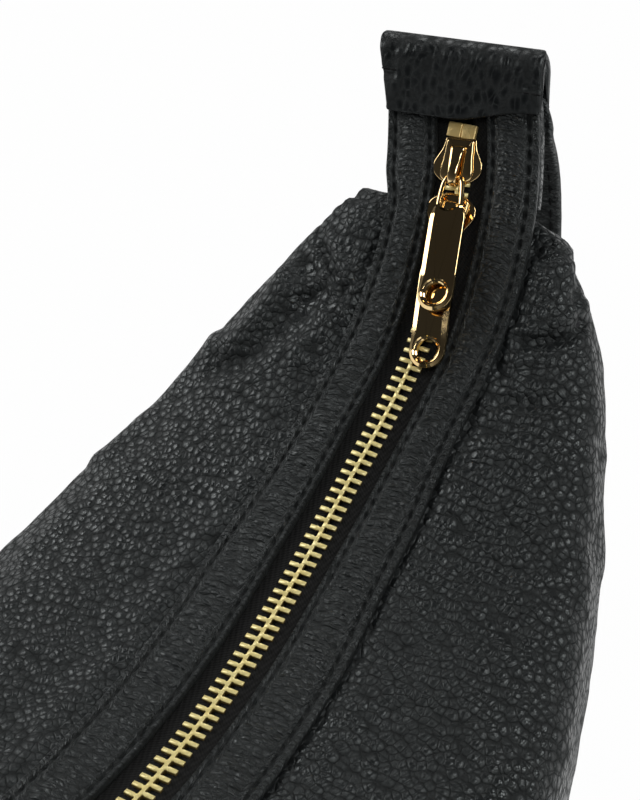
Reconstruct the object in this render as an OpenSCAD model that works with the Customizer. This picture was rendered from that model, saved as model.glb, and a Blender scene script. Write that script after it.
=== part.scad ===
// Crescent crossbody bag in leather, with a curved top zip, two nose-to-nose sliders and a strap.
// X runs along the bag, -Y is the front and Z is up. The origin is the middle of the base.

/* [Bag body] */
// Height of the zip's lowest point above the surface that the bag stands on
zip_low = 106; // [90:1:130]
// Radius of the arc that the zip follows from horn to horn
arc_r = 158; // [145:1:175]
// Length of a horn along the zip, from a panel's shoulder to the end of the facings
horn_l = 39; // [35:1:44]
// Length along the zip in which a panel closes under the horn
nose_run = 9; // [7:0.5:11]
// How far the front panel stands out past the zip facing in the middle
front_bulge = 48.5; // [30:0.5:55]
// How far the back panel stands out past the zip facing in the middle
back_bulge = 62; // [40:1:70]
// How far a panel stands out past the facing at its shoulder
shoulder_out = 9.3; // [7:0.1:12]
// Depth of a panel below the zip in the bag's middle, before the base is flattened
belly_depth = 122; // [112:1:150]
// Depth of a panel's end seam
end_depth = 26; // [20:1:34]
// Depth of the fullest line of a panel below the zip
full_depth = 16; // [12:1:28]
// Height over which the belly rounds into the flat base
base_round = 6; // [3:0.5:10]
// Thickness of the panel leather
leather_t = 1.4; // [1:0.1:2]
// Thickness of the lining
lining_t = 0.8; // [0.5:0.1:1.2]
// How far a panel's edge reaches in under the facing
panel_lap = 6; // [4:0.5:7]

/* [Zip facing and horns] */
// Width over both facings at the horns
horn_w = 37.4; // [34:0.2:38.4]
// Width over both facings in the bag's middle
mouth_w = 43; // [40:0.5:48]
// How far a horn's end leans towards the back
horn_lean = 7; // [0:0.5:7.5]
// Length of a horn's end over which it leans
lean_l = 33; // [30:0.5:34]
// Width of the slot that the zip shows in
slot_w = 13; // [12.4:0.2:15]
// Thickness of a facing
facing_t = 1.4; // [1:0.1:2]
// Length along the zip from the bag's middle to the end of a facing
facing_run = 168; // [165:1:172]
// Thickness of the leather that backs a horn
backing_t = 1.2; // [0.8:0.1:1.6]
// Width of the edge that joins a horn's backing to its facings
backing_edge = 4.4; // [3:0.2:4.6]

/* [Zip] */
// Width of the closed chain
chain_w = 5.8; // [5:0.1:6.4]
// Thickness of the chain
chain_t = 2.4; // [2:0.1:2.6]
// Distance from one tooth to the next in a row
tooth_pitch = 2.5; // [2.2:0.05:3]
// Gap between the two rows of teeth, which a slider's web passes
row_gap = 0.7; // [0.6:0.05:1]
// Width of the tape that shows and is sewn under each facing, from the zip's middle
tape_half = 10.8; // [9.5:0.1:11]
// Thickness of the tape
tape_t = 0.6; // [0.4:0.1:0.8]
// Length along the zip from the inner side of an end stop to the end of the facings
stop_inset = 16.8; // [16:0.2:18]
// Length of an end stop
stop_l = 3.4; // [2.5:0.1:3.6]
// Width over both halves of an end stop
stop_w = 6.9; // [6:0.1:7.5]

/* [Sliders and pulls] */
// Length of a slider
slider_l = 11; // [10:0.1:11.4]
// Width over a slider's shoulders
slider_w = 11.4; // [10:0.1:11.8]
// Width of a slider's narrow end
slider_tail_w = 7.8; // [7.6:0.1:9]
// Thickness of a slider's plates
plate_t = 0.9; // [0.7:0.1:1]
// Gap between the noses of the two sliders
slider_gap = 2.4; // [2:0.1:4]
// Height of a slider's bridge above its top plate
bridge_rise = 2.4; // [2.35:0.05:2.6]
// Width of a slider's bridge
bridge_w = 2; // [1.6:0.1:2.4]
// Length of a pull from its pivot to its round end
pull_l = 33; // [30:0.5:33.5]
// Width of a pull
pull_w = 8.6; // [8:0.1:9.4]
// Thickness of a pull
pull_t = 1.8; // [1.6:0.1:2]
// Radius of the hole in a pull's end
pull_hole_r = 2.5; // [2:0.1:2.8]

/* [Tabs] */
// Width of a tab
tab_w = 38.2; // [38.2:0.2:40]
// Thickness of a tab's leather
tab_t = 1.5; // [1.2:0.1:1.8]
// Length of a tab over the facings' ends
tab_lap = 12; // [10:0.5:12.5]

/* [Strap] */
// Width of the strap
strap_w = 34; // [28:0.5:35]
// Thickness of the strap
strap_t = 2.2; // [1.8:0.1:2.6]
// How far outside its way out of a tab the strap hangs
strap_out = 12.8; // [10:0.2:20]
// Distance behind the bag's middle at which the strap runs from side to side
run_y = 130; // [118:1:160]
// Radius of the strap's bend onto the floor
foot_r = 26; // [20:1:32]
// Radius of the buckle's bars
bar_r = 1.9; // [1.5:0.1:2.2]
// Length of the buckle between the middles of its bars
buckle_l = 24; // [22:0.5:30]
// Place of the buckle's heel bar along X
heel_x = -25; // [-35:1:-5]
// Length of the strap's tail past the heel bar
tail_l = 80; // [74:1:84]
// Distance between the strap's holes
hole_pitch = 20; // [18:1:26]
// Radius of the strap's holes
strap_hole_r = 1.7; // [1.4:0.1:2]
// Width of a keeper loop along the strap
keeper_w = 8; // [6:0.5:10]
// Thickness of a keeper loop
keeper_t = 1.5; // [1.2:0.1:1.8]
// Travel of the loose keeper along the strap
keeper_travel = 20; // [10:1:22]

/* [Hidden] */

// Overrun that lets a cut pass right through
over = 1;
// Gap between layers of one sewn stack
seat_gap = 0.1;
// Running clearance of a part that moves past another
run_gap = 0.3;
// Radial running clearance of a bored part on its bar
bore_gap = 0.06;
round_fn = 48;
arc_fn = 240;

// Places along the zip, counted from the bag's middle
shoulder_run = facing_run - horn_l;
lean_run = facing_run - lean_l;
tab_run = facing_run - tab_lap;
stop_run = facing_run - stop_inset;
outer_place = stop_run - run_gap - slider_l / 2;
inner_place = outer_place - slider_l - slider_gap;

// The depth d of a point counts from the zip's mid plane, away from the arc's centre.
facing_bottom = -tape_t / 2 - seat_gap;
facing_top = facing_bottom - facing_t;
plate_in = chain_t / 2 + run_gap / 2;
plate_out = plate_in + plate_t;
backing_top = plate_out + 2 * run_gap;
backing_bottom = backing_top + backing_t;
strap_d = backing_bottom + seat_gap + strap_t / 2;
leaf_top = strap_d + strap_t / 2 + seat_gap;
leaf_bottom = leaf_top + tab_t;
tab_top = facing_top - seat_gap - tab_t;

// Shares that shape the panels' sections and their plan
middle_share = 0.2;
plan_root_share = 2 / 3;
crown_share = 0.75;
belly_share = 0.9;
keel_share = 1.25;
full_floor_share = 0.35;
taper_start = 95;
taper_run = 80;

// Counts of the shells' stations: along the bag, in each nose and round a section
shell_n = 34;
nose_n = 4;
section_n = 18;

function ang(s) = s / arc_r * 180 / PI;
function clip(v) = min(1, max(0, v));
function smooth(v) = let (c = clip(v)) c * c * (3 - 2 * c);
function unit(v) = v / norm(v);
function arc_pt(s, d, y) = [
    (arc_r + d) * sin(ang(s)), y, zip_low + arc_r - (arc_r + d) * cos(ang(s))];
function strip_half(s) = horn_w / 2
    + (mouth_w - horn_w) / 2 * smooth((taper_start - abs(s)) / taper_run);
function lean(s) = horn_lean * pow(max(0, abs(s) - lean_run) / (facing_run - lean_run), 2);

// Section of a panel at station s, at share v of the way from the mouth to the lower seam.
// inset moves it inwards by a wall.
function nose_close(s, inset) = sqrt(max(0,
    1 - pow(max(0, abs(s) - shoulder_run) / (nose_run - inset), 2)));
function rim_depth(s) = facing_bottom + seat_gap
    + (backing_top + run_gap) * smooth((abs(s) - shoulder_run + nose_run / 3) / nose_run);
function from_middle(s) = let (v = clip(abs(s) / shoulder_run))
    (sqrt(v * v + middle_share * middle_share) - middle_share)
    / (sqrt(1 + middle_share * middle_share) - middle_share);
function plan_env(s) = pow(1 - from_middle(s), plan_root_share);
function keel_depth(s) = end_depth + (belly_depth - end_depth) * (1 - pow(from_middle(s), keel_share));
function base_flat(z) = z > base_round ? z : z < -base_round ? 0 : pow(z + base_round, 2) / (4 * base_round);
function panel_pt(s, v, bulge, inset) = let (
    c = nose_close(s, inset),
    rim_y = (strip_half(s) - panel_lap) * c,
    far_y = (strip_half(s) + shoulder_out + (bulge - shoulder_out) * plan_env(s) - inset) * c,
    top = rim_depth(s) + inset,
    keel = keel_depth(s) - inset,
    full = top + (full_depth - inset) * (full_floor_share + (1 - full_floor_share) * keel / belly_depth),
    a = 180 * v,
    sn = abs(sin(a)),
    cs = abs(cos(a)),
    y = v < 0.5 ? rim_y + (far_y - rim_y) * pow(sn, crown_share)
        : v == 1 ? 0 : far_y * pow(sn, belly_share),
    d = v < 0.5 ? top + (full - top) * (1 - pow(cs, crown_share))
        : full + (keel - full) * pow(cs, belly_share),
    p = arc_pt(s, d, y))
    [p.x, p.y, base_flat(p.z - inset) + inset];

function stations(n, inset) = [
    for (j = [nose_n : -1 : 1]) -shoulder_run - (nose_run - inset) * sin(90 * j / nose_n),
    for (i = [0 : n]) -shoulder_run + 2 * shoulder_run * i / n,
    for (j = [1 : nose_n]) shoulder_run + (nose_run - inset) * sin(90 * j / nose_n)];

// Faces of a closed wall between two grids of nu by nv cells, one listed after the other
function quad(a, b, c, d) = [[a, b, c], [a, c, d]];
function wall_faces(nu, nv) = let (
    m = nv + 1,
    k = (nu + 1) * m)
    [for (f = [
        for (i = [0 : nu - 1]) for (j = [0 : nv - 1])
            quad(i * m + j, i * m + j + 1, (i + 1) * m + j + 1, (i + 1) * m + j),
        for (i = [0 : nu - 1]) for (j = [0 : nv - 1])
            quad(k + i * m + j, k + (i + 1) * m + j, k + (i + 1) * m + j + 1, k + i * m + j + 1),
        for (i = [0 : nu - 1]) quad(i * m, (i + 1) * m, k + (i + 1) * m, k + i * m),
        for (i = [0 : nu - 1]) quad(i * m + nv, k + i * m + nv, k + (i + 1) * m + nv, (i + 1) * m + nv),
        for (j = [0 : nv - 1]) quad(j, k + j, k + j + 1, j + 1),
        for (j = [0 : nv - 1]) quad(nu * m + j, nu * m + j + 1, k + nu * m + j + 1, k + nu * m + j)
    ]) for (t = f) t];

// Half shell on the +Y side, from an outer inset to an inner one
module half_shell(bulge, inset, wall, n, nv) {
    outer = stations(n, inset);
    inner = stations(n, inset + wall);
    points = concat(
        [for (s = inner) for (j = [0 : nv]) panel_pt(s, j / nv, bulge, inset + wall)],
        [for (s = outer) for (j = [0 : nv]) panel_pt(s, j / nv, bulge, inset)]);
    polyhedron(points, wall_faces(n + 2 * nose_n, nv), convexity = 8);
}

// Frame at a place along the zip: x along the zip, z towards the arc's centre
module on_arc(s) {
    translate([0, 0, zip_low + arc_r]) rotate([0, -ang(s), 0]) translate([0, 0, -arc_r]) children();
}

// Band that follows the zip from s0 to s1, between two depths and two places across
module arc_band(s0, s1, y0, y1, top, bottom) {
    translate([0, 0, zip_low + arc_r]) rotate([90, 0, 0]) rotate([0, 0, ang(s0) - 90])
        rotate_extrude(angle = ang(s1 - s0), $fn = arc_fn)
            polygon([[arc_r + top, -y1], [arc_r + bottom, -y1], [arc_r + bottom, -y0], [arc_r + top, -y0]]);
}

// Plan of a strip at depth d as a prism over the whole height. Each edge is set off from the leaning
// middle line by a length and by a share of the facings' half width.
plan_n = 72;
function plan_edge(s0, s1, d, off) = [for (i = [0 : plan_n]) let (s = s0 + (s1 - s0) * i / plan_n)
    [arc_pt(s, d, 0).x, lean(s) + off[0] + off[1] * strip_half(s)]];
module strip_plan(s0, s1, d, off_a, off_b) {
    linear_extrude(height = 2 * zip_low + arc_r)
        polygon(concat(plan_edge(s0, s1, d, off_a), plan_edge(s1, s0, d, off_b)));
}

module leather() { color([0.16, 0.17, 0.18]) children(); }
module gold() { color([0.83, 0.68, 0.38]) children(); }
module cloth() { color([0.22, 0.22, 0.24]) children(); }

module front_panel() {
    leather() mirror([0, 1, 0]) half_shell(front_bulge, 0, leather_t, shell_n, section_n);
}

module back_panel() {
    leather() half_shell(back_bulge, 0, leather_t, shell_n, section_n);
}

lining_in = leather_t + run_gap;

module front_lining() {
    cloth() mirror([0, 1, 0]) half_shell(front_bulge, lining_in, lining_t, shell_n, section_n);
}

module back_lining() {
    cloth() half_shell(back_bulge, lining_in, lining_t, shell_n, section_n);
}

// Slip pocket: a sheet sewn to the back lining along its sides and foot, standing off in the middle
pocket_run = 62;
pocket_gap = 0.8;
pocket_slack = 16;
pocket_top_share = 0.46;
pocket_foot_share = 0.74;
pocket_n = 16;
pocket_nv = 8;
function pocket_pt(u, v, add) = panel_pt(pocket_run * u,
    pocket_foot_share + (pocket_top_share - pocket_foot_share) * v, back_bulge,
    lining_in + lining_t + pocket_gap + add + pocket_slack * (1 - pow(u, 2)) * sqrt(v));

module slip_pocket() {
    cloth() polyhedron(concat(
        [for (i = [0 : pocket_n]) for (j = [0 : pocket_nv])
            pocket_pt(2 * i / pocket_n - 1, 1 - j / pocket_nv, 0)],
        [for (i = [0 : pocket_n]) for (j = [0 : pocket_nv])
            pocket_pt(2 * i / pocket_n - 1, 1 - j / pocket_nv, lining_t)]),
        wall_faces(pocket_n, pocket_nv), convexity = 4);
}

// Facing on the side that side gives, 1 at the back and -1 at the front
module zip_facing(side) {
    intersection() {
        arc_band(-facing_run, facing_run, -mouth_w, mouth_w, facing_top, facing_bottom);
        strip_plan(-facing_run - over, facing_run + over, facing_bottom, [side * slot_w / 2, 0], [0, side]);
    }
}

module zip_facing_front() { leather() zip_facing(-1); }
module zip_facing_back() { leather() zip_facing(1); }

// Channel under a horn, open towards the bag, from the panels' end to inside the tab
module horn_backing() {
    start = shoulder_run + nose_run + run_gap;
    intersection() {
        arc_band(start, facing_run, -mouth_w, mouth_w, backing_top, backing_bottom);
        strip_plan(start - over, facing_run + over, backing_top, [0, -1], [0, 1]);
    }
    for (side = [-1, 1]) intersection() {
        arc_band(start, facing_run, -mouth_w, mouth_w, facing_bottom + seat_gap, backing_bottom);
        strip_plan(start - over, facing_run + over, backing_top, [-side * backing_edge, side], [0, side]);
    }
}

module horn_backing_right() { leather() horn_backing(); }
module horn_backing_left() { leather() mirror([1, 0, 0]) horn_backing(); }

module zip_tape() {
    arc_band(-tab_run, tab_run, chain_w / 2, tape_half, -tape_t / 2, tape_t / 2);
}

module zip_tape_front() { cloth() mirror([0, 1, 0]) zip_tape(); }
module zip_tape_back() { cloth() zip_tape(); }

// One row of teeth, on the side that y_side gives, set off along the zip by shift
tooth_l = tooth_pitch / 2;
tooth_n = floor((stop_run - tooth_pitch) / tooth_pitch);
module tooth_row(y_side, shift) {
    for (i = [-tooth_n : tooth_n]) on_arc(i * tooth_pitch + shift)
        translate([-tooth_l / 2, y_side > 0 ? row_gap / 2 : -chain_w / 2, -chain_t / 2])
            cube([tooth_l, (chain_w - row_gap) / 2, chain_t]);
}

module teeth_front() { gold() tooth_row(-1, 0); }
module teeth_back() { gold() tooth_row(1, tooth_pitch / 2); }

// Two-part stop, one half clamped on each tape
module end_stop() {
    for (side = [0, 1]) mirror([0, side, 0]) on_arc(stop_run + stop_l / 2)
        difference() {
            translate([-stop_l / 2, row_gap / 2, -chain_t / 2])
                cube([stop_l, (stop_w - row_gap) / 2, chain_t]);
            translate([-stop_l / 2 - over, chain_w / 2, -tape_t / 2])
                cube([stop_l + 2 * over, stop_w, tape_t]);
        }
}

module end_stop_right() { gold() end_stop(); }
module end_stop_left() { gold() mirror([1, 0, 0]) end_stop(); }

// Slider with its wide end towards -x: two plates, a web in the rows' gap, side lips and a bridge
web_w = row_gap - run_gap;
lip_t = 0.7;
lip_in = chain_w / 2 + run_gap / 2;
bridge_t = 0.9;
bridge_l = 8.8;
bridge_shift = -0.8;
bridge_crest = -1.2;
corner_cut = 1.4;
module slider_plate() {
    polygon([[slider_l / 2, slider_tail_w / 2 - corner_cut / 2],
        [slider_l / 2, corner_cut / 2 - slider_tail_w / 2],
        [slider_l / 2 - corner_cut / 2, -slider_tail_w / 2], [0, -slider_tail_w / 2],
        [corner_cut - slider_l / 3, -slider_w / 2], [-slider_l / 3, -slider_w / 2],
        [-slider_l / 2, -slider_tail_w / 3], [-slider_l / 2, slider_tail_w / 3],
        [-slider_l / 3, slider_w / 2], [corner_cut - slider_l / 3, slider_w / 2],
        [0, slider_tail_w / 2], [slider_l / 2 - corner_cut / 2, slider_tail_w / 2]]);
}

module slider_body() {
    translate([0, 0, plate_in]) linear_extrude(height = plate_t) slider_plate();
    translate([0, 0, -plate_out]) linear_extrude(height = plate_t) slider_plate();
    translate([-slider_l / 2 + corner_cut, -web_w / 2, -plate_in - plate_t / 2])
        cube([slider_l - 2 * corner_cut, web_w, 2 * plate_in + plate_t]);
    for (side = [0, 1]) mirror([0, side, 0]) {
        translate([0, lip_in, tape_t / 2 + run_gap])
            cube([slider_l / 2 - corner_cut / 2, lip_t, plate_in - tape_t / 2 - run_gap + plate_t / 2]);
        translate([0, lip_in, -plate_in - plate_t / 2])
            cube([slider_l / 2 - corner_cut / 2, lip_t, plate_in - tape_t / 2 - run_gap + plate_t / 2]);
    }
}

// Bridge over the top plate, its high end towards -x, where the pull's eye hangs
module slider_bridge() {
    half = bridge_l / 2;
    low_rise = bridge_rise - 2 * bridge_t;
    translate([0, bridge_w / 2, plate_out]) rotate([90, 0, 0]) linear_extrude(height = bridge_w) polygon([
        [-half, -plate_t / 2], [-half, bridge_rise - bridge_t], [bridge_t - half, bridge_rise],
        [bridge_crest, bridge_rise], [half, low_rise + bridge_t], [half, -plate_t / 2],
        [half - bridge_t, -plate_t / 2], [half - bridge_t, low_rise],
        [bridge_crest, bridge_rise - bridge_t], [bridge_t - half, bridge_rise - bridge_t],
        [bridge_t - half, -plate_t / 2]]);
}

module outer_slider() {
    gold() on_arc(outer_place) {
        slider_body();
        translate([bridge_shift, 0, 0]) slider_bridge();
    }
}

module inner_slider() {
    gold() on_arc(inner_place) {
        mirror([1, 0, 0]) slider_body();
        translate([bridge_shift, 0, 0]) slider_bridge();
    }
}

// Pull: an eye bar on the pivot, two legs, and a plate with a countersunk hole in its round end
eye_r = 0.65;
eye_w = 3.8;
neck_w = 6.4;
neck_t = 1.4;
eye_l = 6.2;
neck_l = 9;
pull_sink = 0.5;
pivot_x = bridge_shift - bridge_l / 2 + bridge_t + eye_r + run_gap;
pivot_h = plate_out + seat_gap + eye_r;
pull_yaw = 12;
// Tilt at which a pull clears by gap a point [x, z] in the frame of its slider
function rest_tilt(p, gap) = let (
    run = (pivot_x - p.x) * cos(pull_yaw) - bridge_w / 2 * sin(pull_yaw),
    rise = p.y - pivot_h + gap)
    atan2(rise, run) + asin(pull_t / 2 / norm([run, rise]));
// Point [x, z] of a frame s further in along the zip, as seen from a slider's own frame
function frame_pt(s, x, z) = [x * cos(ang(s)) - (arc_r - z) * sin(ang(s)),
    arc_r - (arc_r - z) * cos(ang(s)) - x * sin(ang(s))];
// The outer pull rests over the inner slider's bridge, the inner one over the front facing
outer_tilt = rest_tilt(frame_pt(outer_place - inner_place, bridge_shift + bridge_crest,
    plate_out + bridge_rise), run_gap);
inner_tilt = rest_tilt(frame_pt(pull_l - pivot_x, 0, -facing_top), 2 * run_gap);
module pull() {
    hole_x = pull_w / 2 - pull_l;
    translate([0, neck_w / 2, 0]) rotate([90, 0, 0]) cylinder(r = eye_r, h = neck_w, $fn = round_fn);
    for (side = [0, 1]) mirror([0, side, 0]) translate([-neck_l, eye_w / 2, -neck_t / 2])
        cube([neck_l, (neck_w - eye_w) / 2, neck_t]);
    difference() {
        union() {
            translate([-neck_l, -neck_w / 2, -neck_t / 2]) cube([neck_l - eye_l, neck_w, neck_t]);
            translate([0, 0, -pull_t / 2]) linear_extrude(height = pull_t) polygon([
                [-neck_l, pull_w / 2], [hole_x, pull_w / 2], [hole_x, -pull_w / 2], [-neck_l, -pull_w / 2],
                [-eye_l - pull_t / 2, -neck_w / 2], [-eye_l - pull_t / 2, neck_w / 2]]);
            translate([hole_x, 0, -pull_t / 2]) cylinder(r = pull_w / 2, h = pull_t, $fn = round_fn);
        }
        translate([hole_x, 0, -pull_t / 2 - over])
            cylinder(r = pull_hole_r, h = pull_t + 2 * over, $fn = round_fn);
        translate([hole_x, 0, pull_t / 2 - pull_sink])
            cylinder(r1 = pull_hole_r, r2 = pull_hole_r + 2 * pull_sink, h = 2 * pull_sink, $fn = round_fn);
    }
}

module outer_pull() {
    gold() on_arc(outer_place) translate([pivot_x, 0, pivot_h]) rotate([0, outer_tilt, pull_yaw]) pull();
}

module inner_pull() {
    gold() on_arc(inner_place) translate([pivot_x, 0, pivot_h]) rotate([0, inner_tilt, pull_yaw]) pull();
}

// Tab: one piece of leather folded over the horn's end, with the strap's end inside it
fold_r = (leaf_bottom - tab_top) / 2;
fold_n = 12;
function arc_run(s0, s1, d) = [for (i = [0 : 4]) let (p = arc_pt(s0 + (s1 - s0) * i / 4, d, 0)) [p.x, p.z]];
function fold_run(r, from, to) = [for (i = [1 : fold_n - 1]) let (
    a = from + (to - from) * i / fold_n,
    p = arc_pt(facing_run + seat_gap, tab_top + fold_r - r * cos(a), 0),
    t = ang(facing_run + seat_gap))
    [p.x + r * sin(a) * cos(t), p.z + r * sin(a) * sin(t)]];
module tab() {
    lip = facing_run + seat_gap;
    mid = (tab_run + facing_run) / 2;
    yaw = atan(2 * lean(mid) / (mid - lean_run));
    intersection() {
        translate([0, tab_w, 0]) rotate([90, 0, 0]) linear_extrude(height = 2 * tab_w) polygon(concat(
            arc_run(tab_run, lip, tab_top), fold_run(fold_r, 0, 180),
            arc_run(lip, tab_run + strap_t, leaf_bottom), arc_run(tab_run + strap_t, lip, leaf_top),
            fold_run(fold_r - tab_t, 180, 0), arc_run(lip, tab_run, tab_top + tab_t)));
        on_arc(mid) translate([0, lean(mid), 0]) rotate([0, 0, yaw])
            cube([2 * tab_w, tab_w * cos(yaw), 2 * tab_w], center = true);
    }
}

module tab_right() { leather() tab(); }
module tab_left() { leather() mirror([1, 0, 0]) tab(); }

// The strap is a band swept through rings. A ring is its middle, its half width and its half
// thickness, as vectors.
strap_half = strap_w / 2;
floor_z = strap_t / 2;
run_z = keeper_t + seat_gap + strap_t / 2;
layer = strap_t + seat_gap;
bar_z = run_z + strap_t / 2 + seat_gap + bar_r;
exit_s = tab_run;
twist_rise = 30;
hang_top = zip_low + twist_rise;
lead = 6;
swing = 26;
tiny_share = 0.01;
crease_r = strap_t / 2 + run_gap;
slope_l = 22;
function ring(c, w, t) = [c, w, unit(cross(w, t)) * strap_t / 2];
function bezier(a, b, c, d, t) = pow(1 - t, 3) * a + 3 * pow(1 - t, 2) * t * b
    + 3 * (1 - t) * pow(t, 2) * c + pow(t, 3) * d;
exit_p = arc_pt(exit_s, strap_d, lean(exit_s));
hang_x = exit_p.x + strap_out;
exit_t = [-cos(ang(exit_s)), 0, -sin(ang(exit_s))];
hang_p = [hang_x, lean(exit_s), hang_top];
across = [0, strap_half, 0];
twist_end = floor_z + foot_r;
// From inside the tab, out and down, through a quarter twist, onto the floor and round a crease
hang_rings = [
    for (i = [0 : 3]) let (s = facing_run + (exit_s - facing_run) * i / 4)
        ring(arc_pt(s, strap_d, lean(s)), across, [-cos(ang(s)), 0, -sin(ang(s))]),
    for (i = [0 : 9]) let (
        t = i / 10,
        c = bezier(exit_p, exit_p + lead * exit_t, hang_p + [0, 0, swing], hang_p, t),
        n = bezier(exit_p, exit_p + lead * exit_t, hang_p + [0, 0, swing], hang_p, t + tiny_share))
        ring(c, across, n - c),
    for (i = [0 : 14]) let (
        t = i / 14,
        a = 90 * smooth(t))
        ring([hang_x, lean(exit_s) * (1 - smooth(t)), hang_top + (twist_end - hang_top) * t],
            [strap_half * sin(a), strap_half * cos(a), 0], [0, 0, -1]),
    for (i = [1 : 6]) let (a = 90 * i / 6)
        ring([hang_x, foot_r * (1 - cos(a)), floor_z + foot_r * (1 - sin(a))],
            [strap_half, 0, 0], [0, sin(a), -cos(a)]),
    for (i = [0 : 4]) let (
        a = 45 * i,
        o = crease_r * sin(a) / sqrt(2),
        n = sin(a) / sqrt(2))
        [[hang_x + o, run_y + o, floor_z + crease_r * (1 - cos(a))],
            [strap_half, -strap_half, 0], [-n, -n, cos(a)] * strap_t / 2]];
// Rings of a stretch that keeps to a plane across the strap, through [x, z] places
function run_ring(c, t) = ring([c.x, run_y, c.y], [0, -strap_half, 0], [t.x, 0, t.y]);
function run_rings(p) = let (n = len(p) - 1)
    [for (i = [0 : n]) run_ring(p[i], p[min(n, i + 1)] - p[max(0, i - 1)])];
fold_x = hang_x - strap_half;
crease_z = floor_z + 2 * crease_r;
front_x = heel_x + buckle_l;
over_z = bar_z + bar_r + 2 * seat_gap + 3 * strap_t / 2;
stack_z = run_z + 2 * layer;
long_places = [[fold_x - over, crease_z], [fold_x - slope_l, run_z], [front_x + 4 * bar_r, run_z],
    [front_x - bar_r, run_z], [front_x - 3 * bar_r, run_z + strap_t / 2],
    [heel_x + 5 * bar_r, (run_z + over_z) / 2], [heel_x + 3 * bar_r, over_z - strap_t / 2],
    [heel_x + bar_r, over_z], [heel_x - 2 * bar_r, over_z],
    [heel_x - 5 * bar_r, (over_z + stack_z) / 2 + seat_gap],
    [heel_x - 8 * bar_r, stack_z], [heel_x - tail_l, stack_z]];
wrap_r = bar_r + seat_gap + strap_t / 2;
leaf_l = 66;
short_places = [[fold_x - over, crease_z], [fold_x - slope_l, run_z],
    for (i = [0 : 8]) let (a = 180 * i / 8) [-heel_x - wrap_r * sin(a), bar_z - wrap_r * cos(a)],
    [-heel_x + 2 * bar_r, bar_z + wrap_r - seat_gap],
    [-heel_x + 5 * bar_r, (bar_z + wrap_r + run_z + layer) / 2],
    [-heel_x + 8 * bar_r, run_z + layer], [leaf_l - heel_x, run_z + layer]];

module band(rings) {
    n = len(rings);
    points = [for (r = rings) for (k = [[-1, -1], [1, -1], [1, 1], [-1, 1]])
        r[0] + k[0] * r[1] + k[1] * r[2]];
    polyhedron(points, [
        for (f = concat(
            [for (i = [0 : n - 2]) for (k = [0 : 3])
                quad(4 * i + k, 4 * i + (k + 1) % 4, 4 * i + 4 + (k + 1) % 4, 4 * i + 4 + k)],
            [quad(3, 2, 1, 0), quad(4 * n - 4, 4 * n - 3, 4 * n - 2, 4 * n - 1)]))
            for (t = f) t], convexity = 8);
}

prong_r = 1.3;
prong_slot = 2 * prong_r + 2 * run_gap;
module strap_slot(x0, x1, w) {
    translate([x0, run_y - w / 2, -over]) cube([x1 - x0, w, over_z + strap_t + 2 * over]);
}

module long_strap() {
    leather() difference() {
        band(concat(hang_rings, run_rings(long_places)));
        strap_slot(heel_x + bar_r / 2, heel_x + 9 * bar_r, prong_slot);
        for (i = [-3 : 3]) if (i != 0)
            translate([heel_x + 5 * bar_r + i * hole_pitch, run_y, -over])
                cylinder(r = strap_hole_r, h = over_z + strap_t + 2 * over, $fn = round_fn);
    }
}

module short_strap() {
    leather() difference() {
        mirror([1, 0, 0]) band(concat(hang_rings, run_rings(short_places)));
        strap_slot(heel_x - 4 * bar_r, heel_x + 4 * bar_r, 3 * bar_r);
    }
}

// Buckle frame: four round bars with ball corners
buckle_half = strap_half + run_gap * 3 + bar_r;
module buckle_frame() {
    gold() translate([0, run_y, bar_z]) {
        for (x = [heel_x, front_x]) translate([x, buckle_half, 0]) rotate([90, 0, 0])
            cylinder(r = bar_r, h = 2 * buckle_half, $fn = round_fn);
        for (y = [-buckle_half, buckle_half]) translate([heel_x, y, 0]) rotate([0, 90, 0])
            cylinder(r = bar_r, h = buckle_l, $fn = round_fn);
        for (x = [heel_x, front_x]) for (y = [-buckle_half, buckle_half]) translate([x, y, 0])
            sphere(r = bar_r, $fn = round_fn);
    }
}

// Prong: a ring on the heel bar and a pin whose tip rests on the front bar
prong_ring_t = 1.4;
prong_ring_w = 4.4;
prong_tip = 3;
prong_rise = prong_r + seat_gap;
module buckle_prong() {
    tilt = atan2(prong_rise, buckle_l);
    gold() translate([heel_x, run_y, bar_z]) difference() {
        union() {
            translate([0, prong_ring_w / 2, 0]) rotate([90, 0, 0])
                cylinder(r = bar_r + prong_ring_t, h = prong_ring_w, $fn = round_fn);
            translate([0, 0, bar_r]) rotate([0, 90 - tilt, 0]) {
                cylinder(r = prong_r, h = buckle_l + prong_tip, $fn = round_fn);
                translate([0, 0, buckle_l + prong_tip]) sphere(r = prong_r, $fn = round_fn);
            }
        }
        translate([0, prong_ring_w, 0]) rotate([90, 0, 0])
            cylinder(r = bar_r + bore_gap, h = 2 * prong_ring_w, $fn = round_fn);
    }
}

// Keeper loops round the strap's three layers
keeper_in_h = 3 * strap_t + 2 * seat_gap;
module keeper(x, gap) {
    half = strap_half + gap;
    translate([x - keeper_w / 2, run_y, run_z - strap_t / 2 - gap]) rotate([90, 0, 90])
        linear_extrude(height = keeper_w) difference() {
            translate([-half - keeper_t, -keeper_t])
                square([2 * (half + keeper_t), keeper_in_h + 2 * (gap + keeper_t)]);
            translate([-half, 0]) square([2 * half, keeper_in_h + 2 * gap]);
        }
}

keeper_x = heel_x - 8 * bar_r - keeper_w / 2 - over;
module fixed_keeper() { leather() keeper(keeper_x, seat_gap); }
module loose_keeper() { leather() keeper(keeper_x - keeper_w - over - keeper_travel, seat_gap); }

front_panel();
back_panel();
front_lining();
back_lining();
slip_pocket();
zip_facing_front();
zip_facing_back();
horn_backing_right();
horn_backing_left();
zip_tape_front();
zip_tape_back();
teeth_front();
teeth_back();
end_stop_right();
end_stop_left();
outer_slider();
inner_slider();
outer_pull();
inner_pull();
tab_right();
tab_left();
long_strap();
short_strap();
buckle_frame();
buckle_prong();
fixed_keeper();
loose_keeper();
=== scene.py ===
import math

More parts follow.
